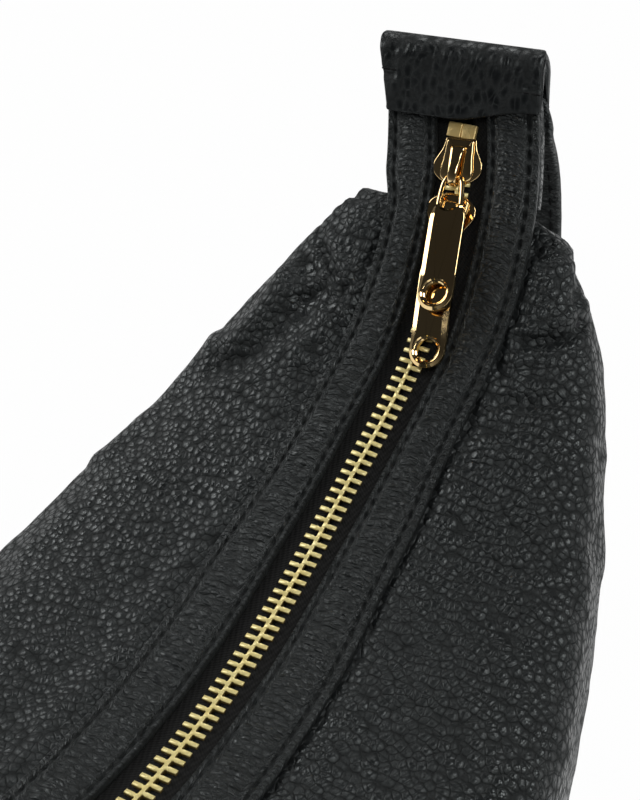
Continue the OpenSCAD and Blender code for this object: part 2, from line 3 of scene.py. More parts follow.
import bpy
import numpy as np
from mathutils import Matrix, Vector


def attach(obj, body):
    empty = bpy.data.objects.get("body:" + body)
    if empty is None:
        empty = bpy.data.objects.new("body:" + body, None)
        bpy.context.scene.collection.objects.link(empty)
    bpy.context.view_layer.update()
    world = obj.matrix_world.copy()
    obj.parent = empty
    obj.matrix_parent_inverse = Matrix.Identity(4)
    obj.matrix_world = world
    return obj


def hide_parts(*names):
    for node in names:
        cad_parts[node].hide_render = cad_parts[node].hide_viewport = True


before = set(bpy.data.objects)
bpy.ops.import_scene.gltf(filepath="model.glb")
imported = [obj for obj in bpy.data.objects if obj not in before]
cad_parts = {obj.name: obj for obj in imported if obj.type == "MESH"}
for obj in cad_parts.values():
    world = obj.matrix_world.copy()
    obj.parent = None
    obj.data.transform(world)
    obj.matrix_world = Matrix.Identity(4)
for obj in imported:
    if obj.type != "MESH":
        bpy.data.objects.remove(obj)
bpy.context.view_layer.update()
mm = 0.001
print("frame loaded")

# Shape of the bag, in millimetres
bag = {
    "zipLow": 106, "arcR": 158, "shoulderRun": 129, "noseRun": 9, "frontBulge": 48.5, "backBulge": 62,
    "shoulderOut": 9.3, "bellyDepth": 122, "endDepth": 26, "fullDepth": 16, "baseRound": 6,
    "leather": 1.3, "panelLap": 6, "rimUp": 0.3, "rimDrop": 3.15, "middleShare": 0.2, "rootShare": 2 / 3,
    "crownShare": 0.75, "bellyShare": 0.9, "keelShare": 1.25, "fullFloor": 0.35,
}
strip = {
    "hornW": 37.4, "mouthW": 43, "taperStart": 95, "taperRun": 80, "slotHalf": 6.5, "run": 168,
    "bottom": 0.4, "top": 1.8, "leanStart": 135, "lean": 7, "innerRow": 1.7, "outerRow": 2.2,
    "pitch": 3.4, "stitchRun": 154, "stitchSlant": 0.14, "groove": 0.6, "pillow": 0.38,
    "rounding": 0.5, "pucker": 0.2, "puckerRun": 2.6, "cutWidth": 0.55,
    "hornOut": 1.5, "hornOutStart": 132, "hornOutRun": 9,
}
# Small sideways wander of the zip and of the strips beside it: place along the zip, shift
zipSway = [(-60, 0), (-20, -1.2), (0, -0.8), (20, -0.3), (40, 0.2), (55, 0.3), (65, 0), (75, -0.7),
           (86, -1.7), (97, -2.6), (110, -2.4), (120, -1.4), (128, -0.6), (134, 0), (142, 0.5),
           (147, 0.9), (152, 1.5), (156, 1.9)]
stripSway = [(-60, 0), (-20, -0.6), (0, -0.4), (20, 0), (36, 0.9), (45, 0.9), (58, 0), (76, -0.4),
             (86, -1.3), (97, -2.5), (108, -3.1), (118, -3.1), (126, -2.6), (132, -2.0),
             (144, -0.4), (150, 0)]
swaySmoothing = {"end": 175, "steps": 701, "reach": 24, "width": 9.0}


# The wander at a place along the zip, with the table's corners rounded off
def swayOf(table, s):
    end, reach = swaySmoothing["end"], swaySmoothing["reach"]
    places = np.linspace(-end, end, swaySmoothing["steps"])
    raw = np.interp(places, [t[0] for t in table], [t[1] for t in table])
    bell = np.exp(-0.5 * (np.arange(-reach, reach + 1) / swaySmoothing["width"]) ** 2)
    soft = np.convolve(np.pad(raw, reach, mode="edge"), bell / bell.sum(), mode="valid")
    return np.interp(s, places, soft)


def clip01(v):
    return np.clip(v, 0, 1)


def smooth(v):
    c = clip01(v)
    return c * c * (3 - 2 * c)


# A point s along the zip's arc, d below it (towards the bag's base) and y to the side
def arcPoint(s, d, y):
    s, d, y = np.broadcast_arrays(np.asarray(s, float), np.asarray(d, float), np.asarray(y, float))
    a = s / bag["arcR"]
    r = bag["arcR"] + d
    return np.stack([r * np.sin(a), y, bag["zipLow"] + bag["arcR"] - r * np.cos(a)], -1)


def stripHalf(s):
    wide = (strip["mouthW"] - strip["hornW"]) / 2
    return strip["hornW"] / 2 + wide * smooth((strip["taperStart"] - np.abs(s)) / strip["taperRun"])


def lean(s):
    reach = strip["run"] - strip["leanStart"]
    return strip["lean"] * (np.maximum(0, np.abs(s) - strip["leanStart"]) / reach) ** 2


# 0 in the middle of the bag and 1 at its shoulders, rounded in the middle
def fromMiddle(s):
    v = clip01(np.abs(s) / bag["shoulderRun"])
    m = bag["middleShare"]
    return (np.sqrt(v * v + m * m) - m) / (math.sqrt(1 + m * m) - m)


# Outer face of a panel: s runs along the zip, v from the strip (0) down to the keel (1)
def panelGrid(s, v, bulge, inset=0.0):
    s = np.asarray(s, float)[:, None]
    v = np.asarray(v, float)[None, :]
    nose = np.maximum(0, np.abs(s) - bag["shoulderRun"]) / (bag["noseRun"] - inset)
    close = np.sqrt(np.maximum(0, 1 - nose ** 2))
    plan = (1 - fromMiddle(s)) ** bag["rootShare"]
    rimY = (stripHalf(s) - bag["panelLap"]) * close
    farY = (stripHalf(s) + bag["shoulderOut"] + (bulge - bag["shoulderOut"]) * plan - inset) * close
    drop = smooth((np.abs(s) - bag["shoulderRun"] + bag["noseRun"] / 3) / bag["noseRun"])
    top = -bag["rimUp"] + bag["rimDrop"] * drop + inset
    deep = 1 - fromMiddle(s) ** bag["keelShare"]
    keel = bag["endDepth"] + (bag["bellyDepth"] - bag["endDepth"]) * deep - inset
    fullShare = bag["fullFloor"] + (1 - bag["fullFloor"]) * keel / bag["bellyDepth"]
    full = top + (bag["fullDepth"] - inset) * fullShare
    sn = np.abs(np.sin(np.pi * v)) + 0 * s
    cs = np.abs(np.cos(np.pi * v)) + 0 * s
    sn[:, -1] = 0
    crown, belly = bag["crownShare"], bag["bellyShare"]
    y = np.where(v < 0.5, rimY + (farY - rimY) * sn ** crown, farY * sn ** belly)
    d = np.where(v < 0.5, top + (full - top) * (1 - cs ** crown), full + (keel - full) * cs ** belly)
    p = arcPoint(s + 0 * v, d, y)
    # The base lies flat on the table and turns softly into the sides
    z = p[..., 2] - inset
    r = bag["baseRound"]
    p[..., 2] = np.where(z > r, z, np.where(z < -r, 0, (z + r) ** 2 / (4 * r))) + inset
    return p


# Soft random waves of about one length, the same ones for the same seed
def waves(p, length, seed, count=7):
    r = np.random.default_rng(seed)
    out = np.zeros(p.shape[:-1])
    for _ in range(count):
        k = r.normal(size=p.shape[-1])
        k *= 2 * math.pi / (np.linalg.norm(k) * length * r.uniform(0.75, 1.4))
        out += np.sin(p @ k + r.uniform(0, 6.28))
    return out / math.sqrt(count)


# Meshes from arrays of points in millimetres
def volumeOf(verts, faces):
    a = verts[faces[:, 0]]
    total = 0.0
    for k in range(1, faces.shape[1] - 1):
        total += np.einsum("ij,ij->i", a, np.cross(verts[faces[:, k]], verts[faces[:, k + 1]])).sum()
    return total / 6


def addMesh(name, verts, quads, tris=None, finish=None, flow=None, outward=True):
    verts = np.asarray(verts, float).reshape(-1, 3)
    quads = np.asarray(quads, int).reshape(-1, 4)
    tris = np.zeros((0, 3), int) if tris is None else np.asarray(tris, int).reshape(-1, 3)
    if outward and volumeOf(verts, quads) + (volumeOf(verts, tris) if len(tris) else 0) < 0:
        quads = quads[:, ::-1]
        tris = tris[:, ::-1]
    mesh = bpy.data.meshes.new(name)
    mesh.vertices.add(len(verts))
    mesh.vertices.foreach_set("co", (verts * mm).astype(np.float32).ravel())
    loops = np.concatenate([quads.ravel(), tris.ravel()])
    starts = np.concatenate([np.arange(len(quads)) * 4, len(quads) * 4 + np.arange(len(tris)) * 3])
    mesh.loops.add(len(loops))
    mesh.loops.foreach_set("vertex_index", loops.astype(np.int32))
    mesh.polygons.add(len(starts))
    mesh.polygons.foreach_set("loop_start", starts.astype(np.int32))
    mesh.update(calc_edges=True)
    mesh.validate()
    mesh.polygons.foreach_set("use_smooth", np.ones(len(mesh.polygons), bool))
    if flow is not None:
        layer = mesh.uv_layers.new(name="flow")
        index = np.zeros(len(mesh.loops), np.int32)
        mesh.loops.foreach_get("vertex_index", index)
        places = np.asarray(flow, float).reshape(-1, 2)[index] * mm
        layer.data.foreach_set("uv", places.astype(np.float32).ravel())
    if finish is not None:
        mesh.materials.append(finish)
    ob = bpy.data.objects.new(name, mesh)
    bpy.context.scene.collection.objects.link(ob)
    return ob


def gridQuads(nu, nv, closeV=False, first=0):
    i, j = np.meshgrid(np.arange(nu - 1), np.arange(nv if closeV else nv - 1), indexing="ij")
    k = (j + 1) % nv
    return np.stack([i * nv + j, (i + 1) * nv + j, (i + 1) * nv + k, i * nv + k], -1).reshape(-1, 4) + first


def lengthAlong(p, axis):
    step = np.linalg.norm(np.diff(p, axis=axis), axis=-1)
    zero = np.zeros_like(np.take(step, [0], axis=axis))
    return np.cumsum(np.concatenate([zero, step], axis=axis), axis=axis)


# A closed tube through rings of points, shape (stations, points round, 3)
def tube(name, rings, finish, closed=False):
    n, m = rings.shape[:2]
    flow = np.stack([lengthAlong(rings, 0), lengthAlong(rings, 1)], -1)
    verts = rings.reshape(-1, 3)
    quads = gridQuads(n, m, closeV=True)
    j = np.arange(m)
    k = (j + 1) % m
    last = (n - 1) * m
    if closed:
        quads = np.concatenate([quads, np.stack([last + j, j, k, last + k], -1)])
        return addMesh(name, verts, quads, finish=finish, flow=flow.reshape(-1, 2))
    ends = np.stack([rings[0].mean(0), rings[-1].mean(0)])
    flow = np.concatenate([flow.reshape(-1, 2), flow[[0, -1]].mean(1)])
    hub = np.full(m, n * m)
    tris = np.concatenate([np.stack([hub, j, k], -1), np.stack([hub + 1, last + k, last + j], -1)])
    return addMesh(name, np.concatenate([verts, ends]), quads, tris, finish, flow)


# A wall between an outer and an inner grid of the same size
def wall(name, outer, inner, finish, flow):
    n, m = outer.shape[:2]
    k = n * m
    last = (n - 1) * m
    i = np.arange(n - 1) * m
    j = np.arange(m - 1)
    quads = [
        gridQuads(n, m),
        gridQuads(n, m, first=k)[:, ::-1],
        np.stack([i, k + i, k + i + m, i + m], -1),
        np.stack([i + m - 1, i + 2 * m - 1, k + i + 2 * m - 1, k + i + m - 1], -1),
        np.stack([j, j + 1, k + j + 1, k + j], -1),
        np.stack([last + j, k + last + j, k + last + j + 1, last + j + 1], -1),
    ]
    verts = np.concatenate([outer.reshape(-1, 3), inner.reshape(-1, 3)])
    flow = np.concatenate([flow.reshape(-1, 2)] * 2)
    return addMesh(name, verts, np.concatenate(quads), None, finish, flow)


def gridNormals(p):
    n = np.cross(np.gradient(p, axis=0), np.gradient(p, axis=1))
    return n / np.maximum(np.linalg.norm(n, axis=-1, keepdims=True), 1e-9)


# Normals of a closed outline in its plane
def outlineNormals(outline):
    along = np.roll(outline, -1, 0) - np.roll(outline, 1, 0)
    n = np.column_stack([along[:, 1], -along[:, 0]])
    return n / np.maximum(np.linalg.norm(n, axis=1, keepdims=True), 1e-6)


def outwardNormals(outline):
    n = outlineNormals(outline)
    return n * np.sign(((outline - outline.mean(0)) * n).sum())


def joined(name, pieces):
    bpy.ops.object.select_all(action="DESELECT")
    for ob in pieces:
        ob.select_set(True)
    bpy.context.view_layer.objects.active = pieces[0]
    bpy.ops.object.join()
    pieces[0].name = name
    pieces[0].data.name = name
    return pieces[0]


# The modifiers' result as a plain mesh
def baked(ob):
    made = bpy.data.meshes.new_from_object(ob.evaluated_get(bpy.context.evaluated_depsgraph_get()))
    ob.modifiers.clear()
    ob.data = made
    return ob


# Shader building
def nodeMaker(tree):
    def add(kind, **values):
        node = tree.nodes.new(kind)
        for key, value in values.items():
            if key in node.inputs:
                node.inputs[key].default_value = value
            else:
                setattr(node, key, value)
        return node
    return add


def newGroup(name, inputs, outputs):
    tree = bpy.data.node_groups.new(name, "ShaderNodeTree")
    for key, kind, value in inputs:
        s = tree.interface.new_socket(name=key, in_out="INPUT", socket_type=kind)
        if value is not None:
            s.default_value = value
    for key, kind in outputs:
        tree.interface.new_socket(name=key, in_out="OUTPUT", socket_type=kind)
    add = nodeMaker(tree)
    return tree, add, add("NodeGroupInput"), add("NodeGroupOutput")


def mathNode(tree, add, op, a, b=None, c=None, clamp=False):
    node = add("ShaderNodeMath", operation=op, use_clamp=clamp)
    for k, v in enumerate((a, b, c)):
        if v is None:
            continue
        if isinstance(v, (int, float)):
            node.inputs[k].default_value = v
        else:
            tree.links.new(v, node.inputs[k])
    return node.outputs[0]


# Pebbled leather: domed cells of two sizes, creases between them and fine pores
grainShape = {
    "drifts": ((0.22, 2.2), (0.9, 1.0)), "spread": 0.95, "domeEdge": 0.85, "domeCurve": 2.0,
    "bigSoft": 0.22, "smallSize": 2.4, "smallSoft": 0.3, "smallCrease": 0.16, "creaseCurve": 0.6,
    "bigLip": 0.26, "smallLip": 0.08, "poreSize": 7.0, "poreDepth": 0.05,
}


def makeGrainGroup():
    tree, add, gin, gout = newGroup("leatherGrain", [
        ("Place", "NodeSocketVector", None), ("Cell", "NodeSocketFloat", 420.0),
        ("Fine", "NodeSocketFloat", 0.35), ("Wander", "NodeSocketFloat", 0.35),
        ("Crease", "NodeSocketFloat", 0.12)],
        [("Height", "NodeSocketFloat"), ("Valley", "NodeSocketFloat"), ("Tone", "NodeSocketFloat")])
    link = tree.links.new

    def scaled(value, factor):
        node = add("ShaderNodeVectorMath", operation="SCALE")
        link(value, node.inputs[0])
        if isinstance(factor, float):
            node.inputs["Scale"].default_value = factor
        else:
            link(factor, node.inputs["Scale"])
        return node.outputs[0]

    def summed(a, b):
        node = add("ShaderNodeVectorMath", operation="ADD")
        link(a, node.inputs[0])
        link(b, node.inputs[1])
        return node.outputs[0]

    place = scaled(gin.outputs["Place"], gin.outputs["Cell"])
    push = None
    for size, share in grainShape["drifts"]:
        drift = add("ShaderNodeTexNoise", Scale=1.0, Detail=2.0)
        link(scaled(place, size), drift.inputs["Vector"])
        centred = add("ShaderNodeVectorMath", operation="SUBTRACT")
        centred.inputs[1].default_value = (0.5, 0.5, 0.5)
        link(drift.outputs["Color"], centred.inputs[0])
        moved = scaled(centred.outputs[0], share)
        push = moved if push is None else summed(push, moved)
    place = summed(place, scaled(push, gin.outputs["Wander"]))

    def domes(scale, soft):
        cells = add("ShaderNodeTexVoronoi", feature="SMOOTH_F1", Scale=scale, Smoothness=soft,
                    Randomness=grainShape["spread"])
        link(place, cells.inputs["Vector"])
        far = mathNode(tree, add, "DIVIDE", cells.outputs["Distance"], grainShape["domeEdge"], clamp=True)
        far = mathNode(tree, add, "POWER", far, grainShape["domeCurve"])
        return mathNode(tree, add, "SUBTRACT", 1.0, far), cells

    def creases(scale, width):
        edge = add("ShaderNodeTexVoronoi", feature="DISTANCE_TO_EDGE", Scale=scale,
                   Randomness=grainShape["spread"])
        link(place, edge.inputs["Vector"])
        away = mathNode(tree, add, "DIVIDE", edge.outputs["Distance"], width, clamp=True)
        return mathNode(tree, add, "POWER", away, grainShape["creaseCurve"])

    big, cells = domes(1.0, grainShape["bigSoft"])
    small = domes(grainShape["smallSize"], grainShape["smallSoft"])[0]
    openBig = creases(1.0, gin.outputs["Crease"])
    openSmall = creases(grainShape["smallSize"], grainShape["smallCrease"])
    pores = add("ShaderNodeTexNoise", Scale=grainShape["poreSize"], Detail=3.0, Roughness=0.6)
    link(place, pores.inputs["Vector"])
    height = mathNode(tree, add, "MULTIPLY_ADD", openBig, grainShape["bigLip"], big)
    fine = mathNode(tree, add, "MULTIPLY_ADD", openSmall, grainShape["smallLip"], small)
    fine = mathNode(tree, add, "MULTIPLY", fine, gin.outputs["Fine"])
    height = mathNode(tree, add, "ADD", height, fine)
    height = mathNode(tree, add, "MULTIPLY_ADD", pores.outputs[0], grainShape["poreDepth"], height)
    link(height, gout.inputs["Height"])
    # Valley is 1 in the creases between the big cells; it carries painted shade there and a rougher gloss
    valley = mathNode(tree, add, "SUBTRACT", 1.0, mathNode(tree, add, "MULTIPLY", openBig, big))
    link(valley, gout.inputs["Valley"])
    parted = add("ShaderNodeSeparateColor")
    link(cells.outputs["Color"], parted.inputs[0])
    link(parted.outputs[0], gout.inputs["Tone"])
    return tree


# Long soft wrinkles that run across the flow of a strip
def makeWrinkleGroup():
    tree, add, gin, gout = newGroup("crossWrinkles", [
        ("Flow", "NodeSocketVector", None), ("Along", "NodeSocketFloat", 420.0),
        ("Across", "NodeSocketFloat", 70.0)],
        [("Height", "NodeSocketFloat")])
    link = tree.links.new
    split = add("ShaderNodeSeparateXYZ")
    link(gin.outputs["Flow"], split.inputs[0])
    x = mathNode(tree, add, "MULTIPLY", split.outputs[0], gin.outputs["Along"])
    y = mathNode(tree, add, "MULTIPLY", split.outputs[1], gin.outputs["Across"])
    both = add("ShaderNodeCombineXYZ")
    link(x, both.inputs[0])
    link(y, both.inputs[1])
    noise = add("ShaderNodeTexNoise", Scale=1.0, Detail=3.0, Roughness=0.55, Distortion=0.4)
    link(both.outputs[0], noise.inputs["Vector"])
    ridge = mathNode(tree, add, "ABSOLUTE", mathNode(tree, add, "SUBTRACT", noise.outputs[0], 0.5))
    ridge = mathNode(tree, add, "MULTIPLY", ridge, 5.0, clamp=True)
    link(ridge, gout.inputs["Height"])
    return tree


# Plain weave or twill from two crossed waves
def makeWeaveGroup():
    tree, add, gin, gout = newGroup("clothWeave", [
        ("Flow", "NodeSocketVector", None), ("Count", "NodeSocketFloat", 2400.0),
        ("Slant", "NodeSocketFloat", 0.0)],
        [("Height", "NodeSocketFloat"), ("Thread", "NodeSocketFloat")])
    link = tree.links.new
    split = add("ShaderNodeSeparateXYZ")
    link(gin.outputs["Flow"], split.inputs[0])
    x = mathNode(tree, add, "MULTIPLY", split.outputs[0], gin.outputs["Count"])
    y = mathNode(tree, add, "MULTIPLY", split.outputs[1], gin.outputs["Count"])
    y = mathNode(tree, add, "ADD", y, mathNode(tree, add, "MULTIPLY", x, gin.outputs["Slant"]))
    a = mathNode(tree, add, "SINE", x)
    b = mathNode(tree, add, "SINE", y)
    h = mathNode(tree, add, "MULTIPLY", a, b)
    link(mathNode(tree, add, "MULTIPLY_ADD", h, 0.5, 0.5), gout.inputs["Height"])
    noise = add("ShaderNodeTexNoise", Scale=900.0, Detail=2.0)
    link(gin.outputs["Flow"], noise.inputs["Vector"])
    link(noise.outputs[0], gout.inputs["Thread"])
    return tree


grainGroup = makeGrainGroup()
wrinkleGroup = makeWrinkleGroup()
weaveGroup = makeWeaveGroup()


def newMaterial(name):
    mat = bpy.data.materials.new(name)
    mat.use_nodes = True
    tree = mat.node_tree
    tree.nodes.clear()
    add = nodeMaker(tree)
    shader = add("ShaderNodeBsdfPrincipled")
    out = add("ShaderNodeOutputMaterial")
    tree.links.new(shader.outputs[0], out.inputs["Surface"])
    return mat, tree, add, shader


def useGroup(add, group, **values):
    node = add("ShaderNodeGroup", node_tree=group)
    for key, value in values.items():
        node.inputs[key].default_value = value
    return node


def rangeNode(tree, add, value, lo, hi, fromLo=0.0, fromHi=1.0):
    node = add("ShaderNodeMapRange")
    tree.links.new(value, node.inputs["Value"])
    for key, v in (("From Min", fromLo), ("From Max", fromHi), ("To Min", lo), ("To Max", hi)):
        node.inputs[key].default_value = v
    return node.outputs[0]


def mixColour(tree, add, factor, a, b):
    node = add("ShaderNodeMix", data_type="RGBA")
    tree.links.new(factor, node.inputs[0])
    node.inputs[6].default_value = (*a, 1)
    node.inputs[7].default_value = (*b, 1)
    return node.outputs[2]


def bumped(tree, add, shader, height):
    bump = add("ShaderNodeBump")
    bump.inputs["Strength"].default_value = 1.0
    bump.inputs["Distance"].default_value = 1.0
    tree.links.new(height, bump.inputs["Height"])
    tree.links.new(bump.outputs[0], shader.inputs["Normal"])


# "gather" stretches the grain along the strip, "taut" flattens it beside the strips and paints it lighter
# there as painted light that evens out the shade by the seam, "wrinkle" adds creases across the strip, and
# "edge" is a dark colour on the cut edge: its edge paint, and painted shade along it
leatherLooks = {
    "panel": {
        "cell": 500.0, "fine": 0.16, "wander": 0.20, "fold": 0.12, "patch": 28.0, "pebble": 0.00058,
        "dark": (0.0050, 0.0057, 0.0060), "light": (0.0105, 0.0119, 0.0123),
        "crease": (0.0008, 0.0009, 0.0010), "rough": 0.29, "shine": 0.58,
        # taut: grain flattened beside the strips, and painted light there
        "tautAndLit": {"reach": (0.006, 0.030), "flat": 0.12, "light": 1.2},
    },
    "strip": {
        "cell": 560.0, "fine": 0.25, "wander": 0.3, "fold": 0.12, "patch": 40.0, "pebble": 0.00052,
        "gather": (1.5, 0.7), "dark": (0.0060, 0.0068, 0.0071), "light": (0.0135, 0.0152, 0.0157),
        "crease": (0.0009, 0.0010, 0.0011), "rough": 0.30, "shine": 0.72,
        # edge: dark edge paint that also stands in for the shade on the cut edge
        "wrinkle": 0.00032, "along": 700.0, "across": 120.0, "edge": (0.0008, 0.0008, 0.0009),
    },
    "tab": {
        "cell": 480.0, "fine": 0.10, "wander": 0.6, "fold": 0.06, "patch": 30.0, "pebble": 0.00007,
        "gather": (1.1, 0.7), "dark": (0.0022, 0.0028, 0.0033), "light": (0.0040, 0.0050, 0.0058),
        "crease": (0.0014, 0.0016, 0.0018), "rough": 0.26, "shine": 0.46,
        "wrinkle": 0.00003, "along": 130.0, "across": 420.0,
    },
}
leatherShade = {"cellTone": 0.45, "patchTone": 0.5, "baseTone": 0.1, "smoother": 0.07, "rougher": 0.09,
                "valleyRough": 0.5, "edgeRough": 0.55, "tint": (0.93, 1.0, 0.99, 1)}


def leatherFinish(name, look):
    mat, tree, add, shader = newMaterial(name)
    link = tree.links.new
    shade = leatherShade
    coords = add("ShaderNodeTexCoord")
    flow = add("ShaderNodeUVMap", uv_map="flow")
    grain = useGroup(add, grainGroup, Cell=look["cell"], Fine=look["fine"], Wander=look["wander"],
                     Crease=look["fold"])
    if look.get("gather"):
        gathered = add("ShaderNodeVectorMath", operation="MULTIPLY")
        gathered.inputs[1].default_value = (*look["gather"], 1)
        link(flow.outputs[0], gathered.inputs[0])
        link(gathered.outputs[0], grain.inputs["Place"])
    else:
        link(coords.outputs["Object"], grain.inputs["Place"])
    height = mathNode(tree, add, "MULTIPLY", grain.outputs["Height"], look["pebble"])
    patches = add("ShaderNodeTexNoise", Scale=look["patch"], Detail=2.0)
    link(coords.outputs["Object"], patches.inputs["Vector"])
    tone = mathNode(tree, add, "MULTIPLY_ADD", grain.outputs["Tone"], shade["cellTone"], shade["baseTone"])
    patchTone = mathNode(tree, add, "MULTIPLY", patches.outputs[0], shade["patchTone"])
    tone = mathNode(tree, add, "ADD", tone, patchTone, clamp=True)
    if look.get("tautAndLit"):
        sides = add("ShaderNodeSeparateXYZ")
        link(flow.outputs[0], sides.inputs[0])
        tautAndLit = rangeNode(tree, add, sides.outputs[1], look["tautAndLit"]["flat"], 0.0, *look["tautAndLit"]["reach"])
        # painted light: the leather beside the strips is coloured lighter to even out the shade of the hollow
        # by the seam
        paintedLight = mathNode(tree, add, "MULTIPLY", tautAndLit, look["tautAndLit"]["light"] / look["tautAndLit"]["flat"])
        tone = mathNode(tree, add, "ADD", tone, paintedLight)
        height = mathNode(tree, add, "MULTIPLY", height, mathNode(tree, add, "SUBTRACT", 1.0, tautAndLit))
    if look.get("wrinkle"):
        wrinkles = useGroup(add, wrinkleGroup, Along=look["along"], Across=look["across"])
        link(flow.outputs[0], wrinkles.inputs["Flow"])
        wrinkled = mathNode(tree, add, "MULTIPLY", wrinkles.outputs[0], look["wrinkle"])
        height = mathNode(tree, add, "ADD", height, wrinkled)
    # painted shade: the creases between the cells get a darker colour
    creased = add("ShaderNodeMix", data_type="RGBA")
    link(grain.outputs["Valley"], creased.inputs[0])
    link(mixColour(tree, add, tone, look["dark"], look["light"]), creased.inputs[6])
    creased.inputs[7].default_value = (*look["crease"], 1)
    colour = creased.outputs[2]
    rough = rangeNode(tree, add, patches.outputs[0], look["rough"] - shade["smoother"],
                      look["rough"] + shade["rougher"], 0.3, 0.7)
    rough = mathNode(tree, add, "MULTIPLY_ADD", grain.outputs["Valley"], shade["valleyRough"], rough,
                     clamp=True)
    # the cut edge beside the zip gets a dark colour: its edge paint, and painted shade there
    if look.get("edge"):
        cut = add("ShaderNodeAttribute", attribute_name="edgePaintAndShade")
        edgePaintAndShadeMix = add("ShaderNodeMix", data_type="RGBA")
        link(cut.outputs["Fac"], edgePaintAndShadeMix.inputs[0])
        link(colour, edgePaintAndShadeMix.inputs[6])
        edgePaintAndShadeMix.inputs[7].default_value = (*look["edge"], 1)
        colour = edgePaintAndShadeMix.outputs[2]
        rough = mathNode(tree, add, "MULTIPLY_ADD", cut.outputs["Fac"], shade["edgeRough"], rough,
                         clamp=True)
    link(colour, shader.inputs["Base Color"])
    link(rough, shader.inputs["Roughness"])
    bumped(tree, add, shader, height)
    shader.inputs["Specular IOR Level"].default_value = look["shine"]
    shader.inputs["Specular Tint"].default_value = shade["tint"]
    return mat


panelLeather = leatherFinish("pebbledLeather", leatherLooks["panel"])
stripLeather = leatherFinish("stripLeather", leatherLooks["strip"])
tabLeather = leatherFinish("tabLeather", leatherLooks["tab"])

clothLooks = {
    "tape": {"dark": (0.003, 0.003, 0.003), "light": (0.018, 0.018, 0.0175), "count": 5200.0, "slant": 0.6,
             "depth": 0.00016},
    "lining": {"dark": (0.020, 0.020, 0.022), "light": (0.045, 0.045, 0.048), "count": 6000.0, "slant": 0.0,
               "depth": 0.00006},
    "thread": {"dark": (0.006, 0.006, 0.006), "light": (0.018, 0.018, 0.019), "count": 9000.0, "slant": 1.0,
               "depth": 0.00005},
}


def clothFinish(name, look):
    mat, tree, add, shader = newMaterial(name)
    link = tree.links.new
    flow = add("ShaderNodeUVMap", uv_map="flow")
    weave = useGroup(add, weaveGroup, Count=look["count"], Slant=look["slant"])
    link(flow.outputs[0], weave.inputs["Flow"])
    shade = mathNode(tree, add, "MULTIPLY", weave.outputs["Thread"], 0.4)
    shade = mathNode(tree, add, "MULTIPLY_ADD", weave.outputs["Height"], 0.6, shade)
    link(mixColour(tree, add, shade, look["dark"], look["light"]), shader.inputs["Base Color"])
    link(rangeNode(tree, add, weave.outputs["Thread"], 0.82, 0.95), shader.inputs["Roughness"])
    bumped(tree, add, shader, mathNode(tree, add, "MULTIPLY", weave.outputs["Height"], look["depth"]))
    shader.inputs["Specular IOR Level"].default_value = 0.2
    return mat


tapeCloth = clothFinish("zipTape", clothLooks["tape"])
liningCloth = clothFinish("lining", clothLooks["lining"])
threadFinish = clothFinish("blackThread", clothLooks["thread"])

# "sides" is painted shade: a darker colour on a tooth below its flat top
metalLooks = {
    "polished": {"deep": (0.78, 0.54, 0.24), "pale": (0.90, 0.68, 0.36), "rough": 0.07, "metal": 1.0,
                 "haze": 60.0, "scratch": 260.0, "ripple": 0.000012},
    "teeth": {"deep": (1.0, 0.78, 0.27), "pale": (1.0, 0.91, 0.46), "rough": 0.24, "metal": 0.15,
              "haze": 400.0, "scratch": 1500.0, "ripple": 0.00002, "sides": (0.20, 0.14, 0.05)},
    "stop": {"deep": (0.92, 0.62, 0.20), "pale": (1.0, 0.80, 0.38), "rough": 0.24, "metal": 0.3,
             "haze": 400.0, "scratch": 1500.0, "ripple": 0.00002},
    "cast": {"deep": (0.76, 0.53, 0.23), "pale": (0.90, 0.70, 0.38), "rough": 0.14, "metal": 1.0,
             "haze": 200.0, "scratch": 700.0, "ripple": 0.00002},
}


def metalFinish(name, look):
    mat, tree, add, shader = newMaterial(name)
    link = tree.links.new
    coords = add("ShaderNodeTexCoord")
    haze = add("ShaderNodeTexNoise", Scale=look["haze"], Detail=3.0)
    link(coords.outputs["Object"], haze.inputs["Vector"])
    lines = add("ShaderNodeTexNoise", Scale=look["scratch"], Detail=2.0, Distortion=0.6)
    link(coords.outputs["Object"], lines.inputs["Vector"])
    colour = mixColour(tree, add, haze.outputs[0], look["deep"], look["pale"])
    # painted shade: below the flat top, the tooth's sides are coloured dark
    if look.get("sides"):
        tops = add("ShaderNodeAttribute", attribute_name="tops")
        sideShadeMix = add("ShaderNodeMix", data_type="RGBA")
        link(tops.outputs["Fac"], sideShadeMix.inputs[0])
        sideShadeMix.inputs[6].default_value = (*look["sides"], 1)
        link(colour, sideShadeMix.inputs[7])
        colour = sideShadeMix.outputs[2]
    link(colour, shader.inputs["Base Color"])
    rough = rangeNode(tree, add, haze.outputs[0], look["rough"] * 0.7, look["rough"] * 1.35, 0.3, 0.7)
    link(rough, shader.inputs["Roughness"])
    bumped(tree, add, shader, mathNode(tree, add, "MULTIPLY", lines.outputs[0], look["ripple"]))
    shader.inputs["Metallic"].default_value = look["metal"]
    return mat


polishedGold = metalFinish("polishedGold", metalLooks["polished"])
toothGold = metalFinish("toothGold", metalLooks["teeth"])
stopGold = metalFinish("stopGold", metalLooks["stop"])
castGold = metalFinish("castGold", metalLooks["cast"])


# Dark paint inside the strap's holes
def edgePaintFinish():
    mat, tree, add, shader = newMaterial("edgePaint")
    link = tree.links.new
    coords = add("ShaderNodeTexCoord")
    noise = add("ShaderNodeTexNoise", Scale=700.0, Detail=3.0)
    link(coords.outputs["Object"], noise.inputs["Vector"])
    colour = mixColour(tree, add, noise.outputs[0], (0.006, 0.006, 0.007), (0.014, 0.014, 0.016))
    link(colour, shader.inputs["Base Color"])
    link(rangeNode(tree, add, noise.outputs[0], 0.3, 0.5), shader.inputs["Roughness"])
    return mat


edgePaint = edgePaintFinish()
print("materials made")


